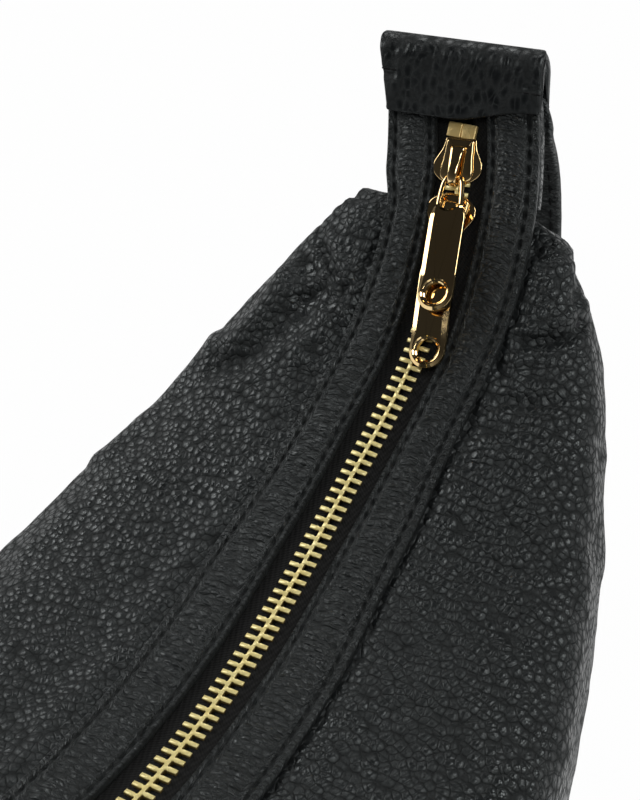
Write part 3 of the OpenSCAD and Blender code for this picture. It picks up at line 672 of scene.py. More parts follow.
# Copies of a prototype on marked points, as Geometry Nodes
def makeScatterTree():
    tree = bpy.data.node_groups.new("placedCopies", "GeometryNodeTree")
    new = tree.interface.new_socket
    new(name="Geometry", in_out="INPUT", socket_type="NodeSocketGeometry")
    new(name="Prototype", in_out="INPUT", socket_type="NodeSocketObject")
    new(name="Finish", in_out="INPUT", socket_type="NodeSocketMaterial")
    new(name="Size", in_out="INPUT", socket_type="NodeSocketFloat").default_value = 1.0
    new(name="Unevenness", in_out="INPUT", socket_type="NodeSocketFloat").default_value = 0.05
    new(name="Geometry", in_out="OUTPUT", socket_type="NodeSocketGeometry")
    add = nodeMaker(tree)
    link = tree.links.new
    gin, gout = add("NodeGroupInput"), add("NodeGroupOutput")
    points = add("GeometryNodeMeshToPoints")
    link(gin.outputs["Geometry"], points.inputs[0])
    info = add("GeometryNodeObjectInfo")
    link(gin.outputs["Prototype"], info.inputs["Object"])
    along = add("GeometryNodeInputNamedAttribute", data_type="FLOAT_VECTOR")
    along.inputs["Name"].default_value = "along"
    up = add("GeometryNodeInputNamedAttribute", data_type="FLOAT_VECTOR")
    up.inputs["Name"].default_value = "up"
    turn = add("FunctionNodeAxesToRotation", primary_axis="Z", secondary_axis="X")
    link(up.outputs[0], turn.inputs[0])
    link(along.outputs[0], turn.inputs[1])
    spread = add("FunctionNodeRandomValue", data_type="FLOAT")
    low = add("ShaderNodeMath", operation="SUBTRACT")
    high = add("ShaderNodeMath", operation="ADD")
    for node in (low, high):
        link(gin.outputs["Size"], node.inputs[0])
        link(gin.outputs["Unevenness"], node.inputs[1])
    link(low.outputs[0], spread.inputs[2])
    link(high.outputs[0], spread.inputs[3])
    spread.inputs["Seed"].default_value = 11
    copies = add("GeometryNodeInstanceOnPoints")
    link(points.outputs[0], copies.inputs["Points"])
    link(info.outputs["Geometry"], copies.inputs["Instance"])
    link(turn.outputs[0], copies.inputs["Rotation"])
    link(spread.outputs[1], copies.inputs["Scale"])
    real = add("GeometryNodeRealizeInstances")
    link(copies.outputs[0], real.inputs[0])
    paint = add("GeometryNodeSetMaterial")
    link(real.outputs[0], paint.inputs["Geometry"])
    link(gin.outputs["Finish"], paint.inputs["Material"])
    link(paint.outputs[0], gout.inputs[0])
    return tree


scatterTree = makeScatterTree()


def scatter(name, prototype, places, along, up, finish, size=1.0, unevenness=0.05):
    places = np.asarray(places, float).reshape(-1, 3)
    mesh = bpy.data.meshes.new(name)
    mesh.from_pydata([tuple(p * mm) for p in places], [], [])
    for key, value in (("along", along), ("up", up)):
        layer = mesh.attributes.new(key, "FLOAT_VECTOR", "POINT")
        layer.data.foreach_set("vector", np.asarray(value, np.float32).reshape(-1, 3).ravel())
    ob = bpy.data.objects.new(name, mesh)
    bpy.context.scene.collection.objects.link(ob)
    mod = ob.modifiers.new("copies", "NODES")
    mod.node_group = scatterTree
    sockets = {i.name: i.identifier for i in scatterTree.interface.items_tree if i.in_out == "INPUT"}
    mod[sockets["Prototype"]] = prototype
    mod[sockets["Finish"]] = finish
    mod[sockets["Size"]] = float(size)
    mod[sockets["Unevenness"]] = float(unevenness)
    baked(ob)
    for poly in ob.data.polygons:
        poly.use_smooth = True
    return ob


# One stitch: a short bowed thread with blunt ends
stitchShape = {"length": 2.7, "radius": 0.3, "arch": 0.24, "sink": 0.16, "sides": 7}


def stitchPrototype():
    k = np.array([-1, -0.85, -0.35, 0.35, 0.85, 1])
    fat = stitchShape["radius"] * np.sqrt(np.maximum(0.05, 1 - np.abs(k) ** 5))
    a = np.linspace(0, 2 * math.pi, stitchShape["sides"], endpoint=False)
    x = (k * stitchShape["length"] / 2)[:, None] + 0 * a
    y = fat[:, None] * np.cos(a)
    bow = stitchShape["arch"] * (1 - k ** 2) - stitchShape["sink"]
    z = fat[:, None] * np.sin(a) + bow[:, None]
    return tube("stitch", np.stack([x, y, z], -1), threadFinish)


stitch = stitchPrototype()


# Direction of a seam and the way up from it
def frameAlong(p, side):
    t = np.gradient(p, axis=0)
    t /= np.linalg.norm(t, axis=-1, keepdims=True)
    up = np.cross(t, side)
    up /= np.linalg.norm(up, axis=-1, keepdims=True)
    return t, up


def done(ob, body, nodes=()):
    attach(ob, body)
    if nodes:
        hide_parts(*nodes)
    return ob


# Strips beside the zip
stripNear = np.array([0, 0.08, 0.2, 0.36, 0.55, 0.85, 1.15, 1.42, 1.7, 1.98, 2.25, 2.6, 3.1])
stripFar = np.array([3.6, 3.1, 2.76, 2.48, 2.2, 1.92, 1.64, 1.25, 0.85, 0.55, 0.36, 0.2, 0.08, 0])
# Crumples of the strip's leather: height, length, seed, stretch across the strip
stripCrumples = [(0.03, 3.2, 21, 0.35), (0.12, 9.0, 5, 0.6)]


# Distances across a strip: close together at the stitch rows and at both edges
def stripAcross(wide):
    near = stripNear[None, :] + 0 * wide
    far = wide - stripFar[None, :]
    mid = near[:, -1:] + (far[:, :1] - near[:, -1:]) * np.linspace(0, 1, 16)[None, 1:-1]
    return np.concatenate([near, mid, far], 1)


def stripEdges(s, side):
    shift = lean(s) + swayOf(stripSway, s)
    inner = swayOf(zipSway, s) * 0.5 + swayOf(stripSway, s) * 0.5 + lean(s) + side * strip["slotHalf"]
    out = strip["hornOut"] * smooth((s - strip["hornOutStart"]) / strip["hornOutRun"])
    return inner, shift + side * stripHalf(s) + (out if side > 0 else 0)


def stripHeight(x, wide, s):
    edge = np.minimum(x, wide - x)
    r = strip["rounding"]
    h = strip["top"] - (r - np.sqrt(np.maximum(0, r ** 2 - np.maximum(0, r - edge) ** 2)))
    pull = 0.6 + 0.4 * np.cos(2 * math.pi * s / strip["pitch"])
    for row in (strip["innerRow"], wide - strip["outerRow"]):
        h = h - strip["groove"] * pull * np.exp(-((x - row) / 0.5) ** 2)
    middle = clip01((x - strip["innerRow"]) / (wide - strip["innerRow"] - strip["outerRow"]))
    return h + strip["pillow"] * np.sin(math.pi * middle) ** 0.7


# Leather gathered between two rows of stitches: flat tops with sharp valleys across the strip
def puckers(s, y, seed):
    field = np.stack([s + 0 * y, y * 0.12], -1)
    ridge = np.minimum(1, np.abs(waves(field, strip["puckerRun"], seed)) * 1.3)
    wide = np.stack([s + 0 * y, y * 0.3], -1)
    return (ridge - 0.6) * (0.7 + 0.3 * waves(wide, 14, seed + 3))


def crumples(x, wide, s, y, side):
    mask = np.sin(math.pi * clip01(x / wide)) ** 0.5
    between = smooth((x - strip["innerRow"] - 0.2) / 1.2) * smooth((wide - strip["outerRow"] - 0.2 - x) / 1.2)
    small = sum(waves(np.stack([s + 0 * y, y * stretch], -1), length, seed + side) * height
                for height, length, seed, stretch in stripCrumples)
    return small * mask + strip["pucker"] * between * puckers(s, y, 71 + side)


def stripStitches(name, side):
    places, ways, ups = [], [], []
    count = int(2 * strip["stitchRun"] / strip["pitch"])
    k = (np.arange(count) - (count - 1) / 2) * strip["pitch"]
    inner, outer = stripEdges(k, side)
    wide = np.abs(outer - inner)
    for x in (strip["innerRow"], wide - strip["outerRow"]):
        y = inner + np.sign(outer - inner) * x
        h = stripHeight(x + 0 * wide, wide, k + strip["pitch"] / 2)
        p = arcPoint(k, -h - 0.02, y)
        way, up = frameAlong(p, np.array([0, 1.0, 0]))
        up *= np.sign((up * (np.array([0, 0, bag["zipLow"] + bag["arcR"]]) - p)).sum(-1, keepdims=True))
        places.append(p)
        ways.append(way + np.array([0, side * strip["stitchSlant"], 0]))
        ups.append(up)
    threads = scatter(name + "Stitches", stitch, np.concatenate(places), np.concatenate(ways),
                      np.concatenate(ups), threadFinish, 1.0, 0.07)
    done(threads, "bag")


def makeStrip(name, side, node):
    s = np.linspace(-strip["run"], strip["run"], 1180)
    inner, outer = stripEdges(s, side)
    wide = np.abs(outer - inner)[:, None]
    x = stripAcross(wide)
    y = inner[:, None] + (outer - inner)[:, None] * (x / wide)
    h = stripHeight(x, wide, s[:, None])
    top = arcPoint(s[:, None], -(h + crumples(x, wide, s[:, None], y, side)), y)
    underShares = np.linspace(1, 0, 6)
    back = inner[:, None] + (outer - inner)[:, None] * underShares[None, :]
    under = arcPoint(s[:, None], -strip["bottom"], back)
    ob = tube(name, np.concatenate([top, under], 1), stripLeather)
    # Dark edge paint and painted shade, strongest on the cut edge beside the zip: the top's near edge and the
    # last point below it
    underCut = (underShares == 0) + 0 * s[:, None]
    cut = np.concatenate([np.exp(-(x / strip["cutWidth"]) ** 2), underCut], 1).ravel()
    layer = ob.data.attributes.new("edgePaintAndShade", "FLOAT", "POINT")
    layer.data.foreach_set("value", np.concatenate([cut, [0, 0]]))
    done(ob, "bag", [node])
    stripStitches(name, side)


makeStrip("frontStrip", -1, "zip_facing_front")
makeStrip("backStrip", 1, "zip_facing_back")
print("strips made")


# Panels: puffed leather. Each crease is a line of (place along the zip, distance from the strip)
folds = {
    "back": [
        {"line": [(120.0, 14.8), (115.8, 10.8), (110.8, 6.1), (106.0, 2.5)], "depth": 1.3, "width": 1.3},
        {"line": [(124.0, -0.5), (117.8, 1.1), (111.8, 2.6), (105.5, 5.8)], "depth": 0.7, "width": 1.0},
        {"line": [(103.1, 15.9), (108.6, 8.7), (102.9, 4.1), (96.1, 0.2)], "depth": 0.9, "width": 1.2},
        {"line": [(116.0, 15.5), (104.6, 11.3), (95.6, 15.4), (85.9, 22.6), (79.9, 32.3)],
         "depth": 1.5, "width": 3.2},
        {"line": [(112.0, 20.0), (104.3, 21.5), (93.9, 24.6), (83.7, 27.2)], "depth": -1.1, "width": 3.4},
        {"line": [(94.0, 36.0), (82.0, 41.0), (66.0, 47.0), (50.0, 52.0)], "depth": -1.7, "width": 8.0},
        {"line": [(96.0, 4.0), (79.9, 2.5), (68.5, 4.0), (52.0, 9.0)], "depth": 0.7, "width": 2.4},
        {"line": [(128.0, 20.0), (118.0, 32.0), (106.0, 46.0)], "depth": 1.1, "width": 3.2},
    ],
    "front": [
        {"line": [(118.5, 23.0), (116.8, 19.4), (111.1, 14.4), (106.3, 2.1)], "depth": 1.2, "width": 1.5},
        {"line": [(127.8, 6.0), (120.0, 9.5), (110.8, 14.6)], "depth": -1.1, "width": 3.0},
        {"line": [(128.5, 15.8), (122.0, 15.0), (114.0, 21.0)], "depth": 0.8, "width": 1.8},
        {"line": [(104.0, 0.5), (93.4, 5.6), (95.4, 15.5), (99.4, 21.2)], "depth": 0.8, "width": 1.6},
        {"line": [(92.0, 2.0), (78.0, 4.5), (62.0, 12.0)], "depth": 0.6, "width": 2.4},
        {"line": [(92.0, 38.0), (86.0, 45.0), (78.0, 51.0), (69.0, 56.0)], "depth": -1.2, "width": 7.0},
    ],
}
# The raised corner of each panel beside the horn
corner = {
    "start": 117, "ragged": 0.3,
    "back": {"reach": 1.3, "whole": 1.5, "out": 1.6},
    "front": {"reach": 2.0, "whole": -1.4, "out": 0.0},
}


# Height of a crease, or of a ridge where its depth is negative
def foldHeight(s, a, fold):
    line = np.array(fold["line"], float)
    q = np.stack([np.abs(s), a], -1)
    best = np.full(a.shape, 1e9)
    run = np.zeros(a.shape)
    lengths = np.linalg.norm(np.diff(line, axis=0), axis=1)
    start = np.concatenate([[0], np.cumsum(lengths)])
    for i, size in enumerate(lengths):
        way = (line[i + 1] - line[i]) / size
        t = np.clip((q - line[i]) @ way, 0, size)
        off = np.linalg.norm(q - line[i] - t[..., None] * way, axis=-1)
        run = np.where(off < best, start[i] + t, run)
        best = np.minimum(best, off)
    fade = smooth((run + 1.5) / 5) * smooth((start[-1] + 1.5 - run) / 6)
    w = fold["width"]
    banks = 0.45 * np.exp(-((best - 2.1 * w) / (1.1 * w)) ** 2) if fold["depth"] > 0 else 0
    return fold["depth"] * fade * (banks - np.exp(-(best / w) ** 2))


# Soft waves of the panels' leather: height, length, seed step, distance over which they begin
panelWaves = [(0.5, 46, 0, 12), (0.22, 15, 1, 7), (0.07, 7, 4, 4)]


# How far the leather stands off its plain shape: a is the distance from the strip's edge
def panelLift(s, a, across, z, foldSet, seed):
    field = np.stack([s, a], -1)
    near = smooth((bag["shoulderRun"] + bag["noseRun"] - np.abs(s)) / 14)
    lift = near * (1.0 * np.exp(-((a - 5.0) / 4.5) ** 2) - 0.3 * np.exp(-((a - 0.5) / 0.9) ** 2))
    for fold in foldSet:
        lift += foldHeight(s, a, fold)
    for height, length, step, reach in panelWaves:
        lift += height * waves(field, length, seed + step) * smooth(a / reach)
    pucker = np.exp(-(a / 6.0) ** 2) * smooth((a + 1) / 2)
    lift += 0.24 * pucker * waves(np.stack([s, a * 0.25], -1), 6.5, seed + 2)
    ragged = smooth((np.abs(s) - corner["start"]) / 8) * smooth((a + 1) / 3) * smooth((34 - a) / 12)
    lift += corner["ragged"] * ragged * (np.abs(waves(field, 5.0, seed + 6)) - 0.6)
    lift *= smooth((z - 1.0) / 9) * smooth((across[:, -1:] - across) / 10)
    lift[[0, -1]] = 0
    return lift


def makePanel(name, side, bulge, node, foldSet, seed):
    nose = bag["shoulderRun"] + bag["noseRun"] * np.sin(np.linspace(0, math.pi / 2, 18)[1:])
    right = [np.linspace(20, 76, 64, endpoint=False), np.linspace(76, bag["shoulderRun"], 96), nose]
    left = np.linspace(-bag["shoulderRun"], 20, 110, endpoint=False)
    s = np.concatenate([-nose[::-1], left, *right])
    p = panelGrid(s, np.linspace(0, 1, 158) ** 1.2, bulge)
    across = lengthAlong(p, 1)
    n = gridNormals(p)
    n *= np.sign(n[:, 40:60, 1].mean())
    n[-1] = (1.0, 0, 0)
    n[0] = (-1.0, 0, 0)
    a = across - bag["panelLap"]
    ss = s[:, None] + 0 * a
    q = p + n * panelLift(ss, a, across, p[..., 2], foldSet, seed)[..., None]
    c = corner["back" if side > 0 else "front"]
    knob = np.exp(-((a - 11) / 7) ** 2)
    spread = smooth((np.abs(ss) - corner["start"]) / 12) * smooth((bag["shoulderRun"] + 7 - np.abs(ss)) / 5)
    spread *= smooth((a + 4) / 5) * np.exp(-(np.maximum(0, a - 14) / 8) ** 2)
    spread *= 1 + 0.1 * waves(np.stack([ss, a], -1), 6.0, seed + 9)
    push = (c["whole"] + c["reach"] * knob) * spread
    arcWay = np.stack([np.cos(s / bag["arcR"]), 0 * s, np.sin(s / bag["arcR"])], -1)[:, None]
    q += (push * np.sign(ss))[..., None] * arcWay
    q[..., 1] += c["out"] * knob * spread
    q[..., 1] += swayOf(stripSway, s)[:, None] * (1 - smooth((across - 2) / 24)) * side
    q[..., 2] = np.maximum(q[..., 2], 0.0)
    inner = q - n * bag["leather"]
    inner[..., 2] = np.maximum(inner[..., 2], bag["leather"] * 0.9)
    for grid in (q, inner):
        grid[..., 1] = np.maximum(grid[..., 1], 0) * side
    ob = wall(name, q, inner, panelLeather, np.stack([ss, across], -1))
    done(ob, "bag", [node])


makePanel("frontPanel", -1, bag["frontBulge"], "front_panel", folds["front"], 31)
makePanel("backPanel", 1, bag["backBulge"], "back_panel", folds["back"], 47)
print("panels made")


# Lining and slip pocket
lining = {"inset": 1.75, "thick": 0.7}
pocket = {"half": 62, "rim": 0.46, "base": 0.74, "inset": 3.3, "gape": 16, "thick": 0.8}


def makeLining(name, side, bulge, node):
    inset = lining["inset"]
    nose = bag["shoulderRun"] + (bag["noseRun"] - inset) * np.sin(np.linspace(0, math.pi / 2, 7)[1:])
    s = np.concatenate([-nose[::-1], np.linspace(-bag["shoulderRun"], bag["shoulderRun"], 80), nose])
    p = panelGrid(s, np.linspace(0, 1, 60), bulge, inset)
    n = gridNormals(p)
    n *= np.sign(n[:, 16:24, 1].mean())
    n[-1] = (1.0, 0, 0)
    n[0] = (-1.0, 0, 0)
    inner = p - n * lining["thick"]
    for grid in (p, inner):
        grid[..., 1] = np.maximum(grid[..., 1], 0) * side
        grid[..., 2] = np.maximum(grid[..., 2], inset)
    flow = np.stack([s[:, None] + 0 * p[..., 0], lengthAlong(p, 1)], -1)
    done(wall(name, p, inner, liningCloth, flow), "bag", [node])


makeLining("frontLining", -1, bag["frontBulge"], "front_lining")
makeLining("backLining", 1, bag["backBulge"], "back_lining")


# The pocket's rim gapes from the back lining in the middle and is sewn to it at the sides
def makePocket():
    rows = []
    for u in np.linspace(-1, 1, 60):
        row = []
        for v in np.linspace(0, 1, 36):
            share = pocket["base"] + (pocket["rim"] - pocket["base"]) * v
            inset = pocket["inset"] + pocket["gape"] * (1 - u * u) * math.sqrt(v)
            row.append(panelGrid([pocket["half"] * u], [share, 1.0], bag["backBulge"], inset)[0, 0])
        rows.append(row)
    p = np.array(rows)
    n = gridNormals(p)
    n *= np.sign(n[20:40, 10:20, 1].mean())
    flow = np.stack([lengthAlong(p, 0), lengthAlong(p, 1)], -1)
    ob = wall("slipPocket", p, p - n * pocket["thick"], liningCloth, flow)
    done(ob, "bag", ["slip_pocket"])


makePocket()
print("lining made")


# Zip: tapes, teeth and stops
zipLook = {"pitch": 2.5, "run": 151.2, "tapeRun": 156, "tapeHalf": 0.3, "gapStep": 0.5}
stop = {"place": 152.2, "shift": 2.7, "half": 1.7, "gap": 0.06, "reach": 3.6, "low": -1.2, "top": 1.25,
        "round": 0.22}


def makeTape(name, side, node):
    s = np.linspace(-zipLook["tapeRun"], zipLook["tapeRun"], 700)[:, None]
    shift = swayOf(zipSway, s)
    x = np.array([0.9, 1.6, 2.4, 3.2, 4.2, 5.4, 6.6, 8.0, 9.4, 10.8])[None, :]
    cord = 0.16 * np.exp(-((x - 3.0) / 0.8) ** 2)
    ripple = 0.05 * np.sin(s * 0.9) * np.exp(-((x - 6) / 3) ** 2)
    top = arcPoint(s, -(zipLook["tapeHalf"] + cord + ripple), shift + side * x)
    low = arcPoint(s, zipLook["tapeHalf"], shift + side * x)[:, ::-1]
    done(tube(name, np.concatenate([top, low], 1), tapeCloth), "bag", [node])


makeTape("frontTape", -1, "zip_tape_front")
makeTape("backTape", 1, "zip_tape_back")


# A solid from one outline at several heights, each moved out or in by its own amount
def platform(name, outline, layers, finish):
    n = outwardNormals(outline)
    rings = [np.column_stack([outline + n * off, np.full(len(outline), z)]) for off, z in layers]
    return tube(name, np.array(rings), finish)


# One tooth along +Y: a bar clamped on the tape, a neck and a wide head past the middle
toothHalf = [(-3.0, 0.50), (-1.05, 0.54), (-0.68, 0.38), (-0.36, 0.68), (0.26, 0.70), (0.40, 0.50)]
toothLayers = ((-0.08, -1.2), (0.0, 0.85), (0.0, 1.10), (-0.13, 1.22))


def toothPrototype():
    outline = [(x, y) for y, x in toothHalf] + [(-x, y) for y, x in toothHalf[::-1]]
    part = platform("tooth", np.array(outline), toothLayers, toothGold)
    # the flat top is marked so that the sides below it can get a painted shade
    tops = part.data.attributes.new("tops", "FLOAT", "POINT")
    tops.data.foreach_set("value", [float(v.co.z > 1.0 * mm) for v in part.data.vertices])
    return part


tooth = toothPrototype()


def makeTeeth(name, side, shift, node):
    n = int(math.floor((zipLook["run"] - zipLook["pitch"]) / zipLook["pitch"]))
    s = (np.arange(-n, n + 1) + shift) * zipLook["pitch"]
    p = arcPoint(s, 0.0, swayOf(zipSway, s))
    t = np.gradient(p, axis=0)
    t /= np.linalg.norm(t, axis=-1, keepdims=True)
    up = np.stack([-np.sin(s / bag["arcR"]), 0 * s, np.cos(s / bag["arcR"])], -1)
    ob = scatter(name, tooth, p, t if side < 0 else -t, up, toothGold, 1.0, 0.015)
    done(ob, "bag", [node])


makeTeeth("frontTeeth", -1, 0.0, "teeth_front")
makeTeeth("backTeeth", 1, zipLook["gapStep"], "teeth_back")


# A box with rounded edges and corners
def bevelBox(name, lo, hi, r, finish, steps=3):
    lo, hi = np.array(lo, float), np.array(hi, float)
    k = np.linspace(0, math.pi / 2, steps + 1)
    ring = []
    for q, (sx, sy) in enumerate(((1, 1), (-1, 1), (-1, -1), (1, -1))):
        cx, cy = (hi[0] - r if sx > 0 else lo[0] + r), (hi[1] - r if sy > 0 else lo[1] + r)
        for a in k + q * math.pi / 2:
            ring.append((cx, cy, math.cos(a), math.sin(a)))
    ring = np.array(ring)
    rings = []
    for start, z in ((-math.pi / 2, lo[2] + r), (0, hi[2] - r)):
        for a in np.linspace(start, start + math.pi / 2, steps + 1):
            flat = ring[:, :2] + r * math.cos(a) * ring[:, 2:]
            rings.append(np.column_stack([flat, np.full(len(ring), z + r * math.sin(a))]))
    return tube(name, np.array(rings), finish)


# Moves a piece made on the zip's straight line to its place on the arc
def onArc(s, yShift=0.0):
    a = s / bag["arcR"]
    lift = Matrix.Translation((0, yShift * mm, (bag["zipLow"] + bag["arcR"]) * mm))
    return lift @ Matrix.Rotation(-a, 4, "Y") @ Matrix.Translation((0, 0, -bag["arcR"] * mm))


def place(ob, matrix):
    ob.data.transform(matrix)
    ob.data.update()
    return ob


def makeStop(name, sign, node):
    parts = []
    for side in (-1, 1):
        lo, hi = sorted((side * stop["gap"], side * stop["reach"]))
        part = bevelBox("stopHalf", (-stop["half"], lo, stop["low"]), (stop["half"], hi, stop["top"]),
                        stop["round"], stopGold)
        parts.append(place(part, onArc(sign * stop["place"], stop["shift"] if sign > 0 else 0.0)))
    done(joined(name, parts), "bag", [node])


makeStop("endStopRight", 1, "end_stop_right")
makeStop("endStopLeft", -1, "end_stop_left")
print("zip made")


# Sliders and pulls. The outer slider stands a little aside and turned, as a real one does at rest
slider = {
    "plateIn": 1.35, "flangeT": 0.42, "plateT": 0.9, "wingShare": 1.08,
    "bridgeL": 8.8, "bridgeShift": -1.2, "bridgeHalf": 0.45,
    "outer": {"place": 145.0, "shift": 1.5, "yaw": 6.0, "tilt": 14.6},
    "inner": {"place": 132.0, "shift": 0.0, "yaw": 0.0, "tilt": 6.9},
}
pull = {"length": 33.0, "wide": 8.6, "thick": 1.8, "hole": 2.5, "chamfer": 1.25, "wire": 0.62,
        "taperX": -11.5, "yaw": 12.0, "pivotX": -3.8, "pivotH": 2.85, "creaseAngle": 20.5}
# Halves of the plates' outlines, from the nose to the tail
wingHalf = [(5.4, 0.0), (5.45, 2.8), (5.2, 3.5), (4.0, 3.75), (2.6, 4.1), (1.2, 4.8), (-0.2, 5.5),
            (-1.5, 5.7), (-2.9, 5.3), (-4.1, 4.2), (-5.0, 2.7), (-5.4, 1.2)]
crownHalf = [(5.1, 0.0), (5.1, 2.6), (4.7, 3.4), (3.0, 3.6), (0.5, 3.75), (-2.0, 4.1), (-3.8, 3.9),
             (-4.8, 2.7), (-5.2, 1.2)]


def catmull(points, n, closed=False):
    p = np.array(points, float)
    m = len(p)
    out = []
    for i in range(m if closed else m - 1):
        near = (i - 1, i, i + 1, i + 2)
        a, b, c, d = [p[k % m] if closed else p[min(max(k, 0), m - 1)] for k in near]
        for t in np.linspace(0, 1, n, endpoint=False):
            square, cube = 2 * a - 5 * b + 4 * c - d, 3 * b - a - 3 * c + d
            out.append(0.5 * (2 * b + (c - a) * t + square * t * t + cube * t ** 3))
    if not closed:
        out.append(p[-1])
    return np.array(out)


def mirrored(half):
    return catmull(half + [(x, -y) for x, y in half[::-1] if y > 0.01], 5, closed=True)


def sliderPlates(inn, out):
    low = mirrored(wingHalf)
    wings = low * np.array([1.0, slider["wingShare"]])
    flange = inn + slider["flangeT"]
    wingLayers = [(-0.25, inn), (0.0, inn + 0.12), (0.0, flange - 0.12), (-0.08, flange - 0.03),
                  (-0.2, flange), (-0.3, flange)]
    crownLayers = [(0.0, inn + 0.2), (0.0, flange + 0.1), (-0.12, out - 0.1), (-0.35, out),
                   (-0.8, out + 0.04), (-1.5, out + 0.14)]
    lowLayers = [(-0.4, -out), (-0.1, -out + 0.15), (0.0, -out + 0.4), (0.0, -inn - 0.3),
                 (-0.12, -inn - 0.12), (-0.3, -inn)]
    return [platform("wings", wings, wingLayers, polishedGold),
            platform("crown", mirrored(crownHalf), crownLayers, polishedGold),
            platform("low", low, lowLayers, polishedGold)]


# The bridge that carries the pull's eye: a flat bar bent over the slider
def sliderBridge(b):
    half = slider["bridgeL"] / 2
    path = catmull([(half - 0.3, b - 0.3), (half - 0.15, b + 0.5), (half - 0.8, b + 1.1), (1.5, b + 1.5),
                    (-1.2, b + 1.95), (-3.2, b + 1.9), (-half + 0.2, b + 1.3), (-half, b + 0.3),
                    (-half + 0.1, b - 0.3)], 6)
    way = np.gradient(path, axis=0)
    way /= np.linalg.norm(way, axis=1, keepdims=True)
    up = np.column_stack([-way[:, 1], way[:, 0]])
    a = np.linspace(0, 2 * math.pi, 20, endpoint=False)
    across = np.sign(np.cos(a)) * np.abs(np.cos(a)) ** 0.7
    thick = slider["bridgeHalf"] * np.sign(np.sin(a)) * np.abs(np.sin(a)) ** 0.8
    wide = np.interp(path[:, 0], [-half, 0, half], [0.95, 1.4, 1.75])
    rings = [np.column_stack([x + slider["bridgeShift"] + u[0] * thick, w * across, z + u[1] * thick])
             for (x, z), u, w in zip(path, up, wide)]
    return tube("bridge", np.array(rings), polishedGold)


def makeSlider(name, which, node, turned):
    inn, out = slider["plateIn"], slider["plateIn"] + slider["plateT"]
    parts = sliderPlates(inn, out)
    for side in (-1, 1):
        y0, y1 = sorted((side * 3.1, side * 3.92))
        parts.append(bevelBox("lipTop", (-0.3, y0, 0.62), (4.9, min(y1, 3.9), inn + 0.4), 0.2, polishedGold))
        parts.append(bevelBox("lipLow", (-0.3, y0, -inn - 0.4), (4.9, y1, -0.62), 0.2, polishedGold))
    if turned:
        for part in parts:
            place(part, Matrix.Rotation(math.pi, 4, "Z"))
    parts.append(sliderBridge(out - 0.1))
    at = slider[which]
    ob = place(joined(name, parts),
               onArc(at["place"], at["shift"]) @ Matrix.Rotation(math.radians(at["yaw"]), 4, "Z"))
    done(ob, node, [node])


makeSlider("outerSlider", "outer", "outer_slider", False)
makeSlider("innerSlider", "inner", "inner_slider", True)


# Plate of a pull: a rounded end with a stepped hole, tapering to two horns that hold the ring
plateFlank = [(-10.2, -4.26), (-9.0, -4.05), (-8.0, -3.7), (-7.2, -3.35), (-6.8, -3.0), (-6.8, -2.5),
              (-7.1, -2.2)]
plateBay = [(-7.1, -2.2), (-7.6, -1.75), (-8.0, -0.95), (-8.15, 0.0), (-8.0, 0.95), (-7.6, 1.75),
            (-7.1, 2.2)]


def pullPlate():
    hx = pull["wide"] / 2 - pull["length"]
    r = pull["wide"] / 2
    root = pull["taperX"]
    pts = [(hx + r * math.cos(a), r * math.sin(a)) for a in np.linspace(math.pi / 2, 3 * math.pi / 2, 41)]
    pts += [(x, -r) for x in np.linspace(hx, root, 16)[1:]]
    flank = catmull([(root, -r)] + plateFlank, 5)
    pts += [tuple(q) for q in flank[1:]]
    pts += [tuple(q) for q in catmull(plateBay, 5)[1:]]
    pts += [(x, -y) for x, y in flank[::-1][1:]]
    pts += [(x, r) for x in np.linspace(root, hx, 16)[1:-1]]
    o = np.array(pts)
    n = outwardNormals(o)
    slim = 0.55 * smooth((o[:, 0] + 10.0) / 3.0) + 0.42 * smooth((hx + 5.0 - o[:, 0]) / 5.0)
    inward = (pull["chamfer"] * (1 - slim))[:, None]
    ang = np.arctan2(o[:, 1], o[:, 0] - hx)
    circle = np.column_stack([np.cos(ang), np.sin(ang)])
    hole, h = pull["hole"], pull["thick"] / 2
    rings = [np.column_stack([o + n * off * inward, np.full(len(o), z)]) for off, z in (
        (-0.4, -h), (-0.1, -h + 0.12), (0.0, -h + 0.35), (0.0, h - 0.6), (-0.015, h - 0.54),
        (-0.06, h - 0.48), (-1.0, h))]
    rings += [np.column_stack([np.array([hx, 0]) + circle * radius, np.full(len(o), z)]) for radius, z in (
        (hole + 0.88, h), (hole + 0.6, h - 0.3), (hole + 0.5, h - 0.34), (hole + 0.3, h - 0.36),
        (hole + 0.02, h - 0.6), (hole, h - 0.8), (hole, -h + 0.2), (hole + 0.15, -h))]
    return tube("pullPlate", np.array(rings), polishedGold, closed=True)


# The wire ring between the bridge and the plate
eyeHalf = [(0.0, 0.0), (-0.12, 1.0), (-0.6, 1.75), (-1.6, 2.25), (-3.4, 2.55), (-5.4, 2.72), (-7.4, 2.74),
           (-8.6, 2.1), (-9.0, 0.0)]


def pullEye():
    path = catmull(eyeHalf + [(x, -y) for x, y in eyeHalf[1:-1][::-1]], 6, closed=True)
    n = outlineNormals(path)
    a = np.linspace(0, 2 * math.pi, 16, endpoint=False)
    c, s = pull["wire"] * np.cos(a), pull["wire"] * np.sin(a)
    rings = [np.column_stack([x + q[0] * c, y + q[1] * c, s]) for (x, y), q in zip(path, n)]
    return tube("pullEye", np.array(rings), polishedGold, closed=True)


def makePull(name, which, node):
    ob = joined(name, [pullPlate(), pullEye()])
    at = slider[which]
    m = onArc(at["place"], at["shift"]) @ Matrix.Rotation(math.radians(at["yaw"]), 4, "Z")
    m = m @ Matrix.Translation((pull["pivotX"] * mm, 0, pull["pivotH"] * mm))
    m = m @ Matrix.Rotation(math.radians(pull["yaw"] - at["yaw"]), 4, "Z")
    place(ob, m @ Matrix.Rotation(math.radians(at["tilt"]), 4, "Y"))
    mod = ob.modifiers.new("edges", "EDGE_SPLIT")
    mod.split_angle = math.radians(pull["creaseAngle"])
    done(baked(ob), node, [node])


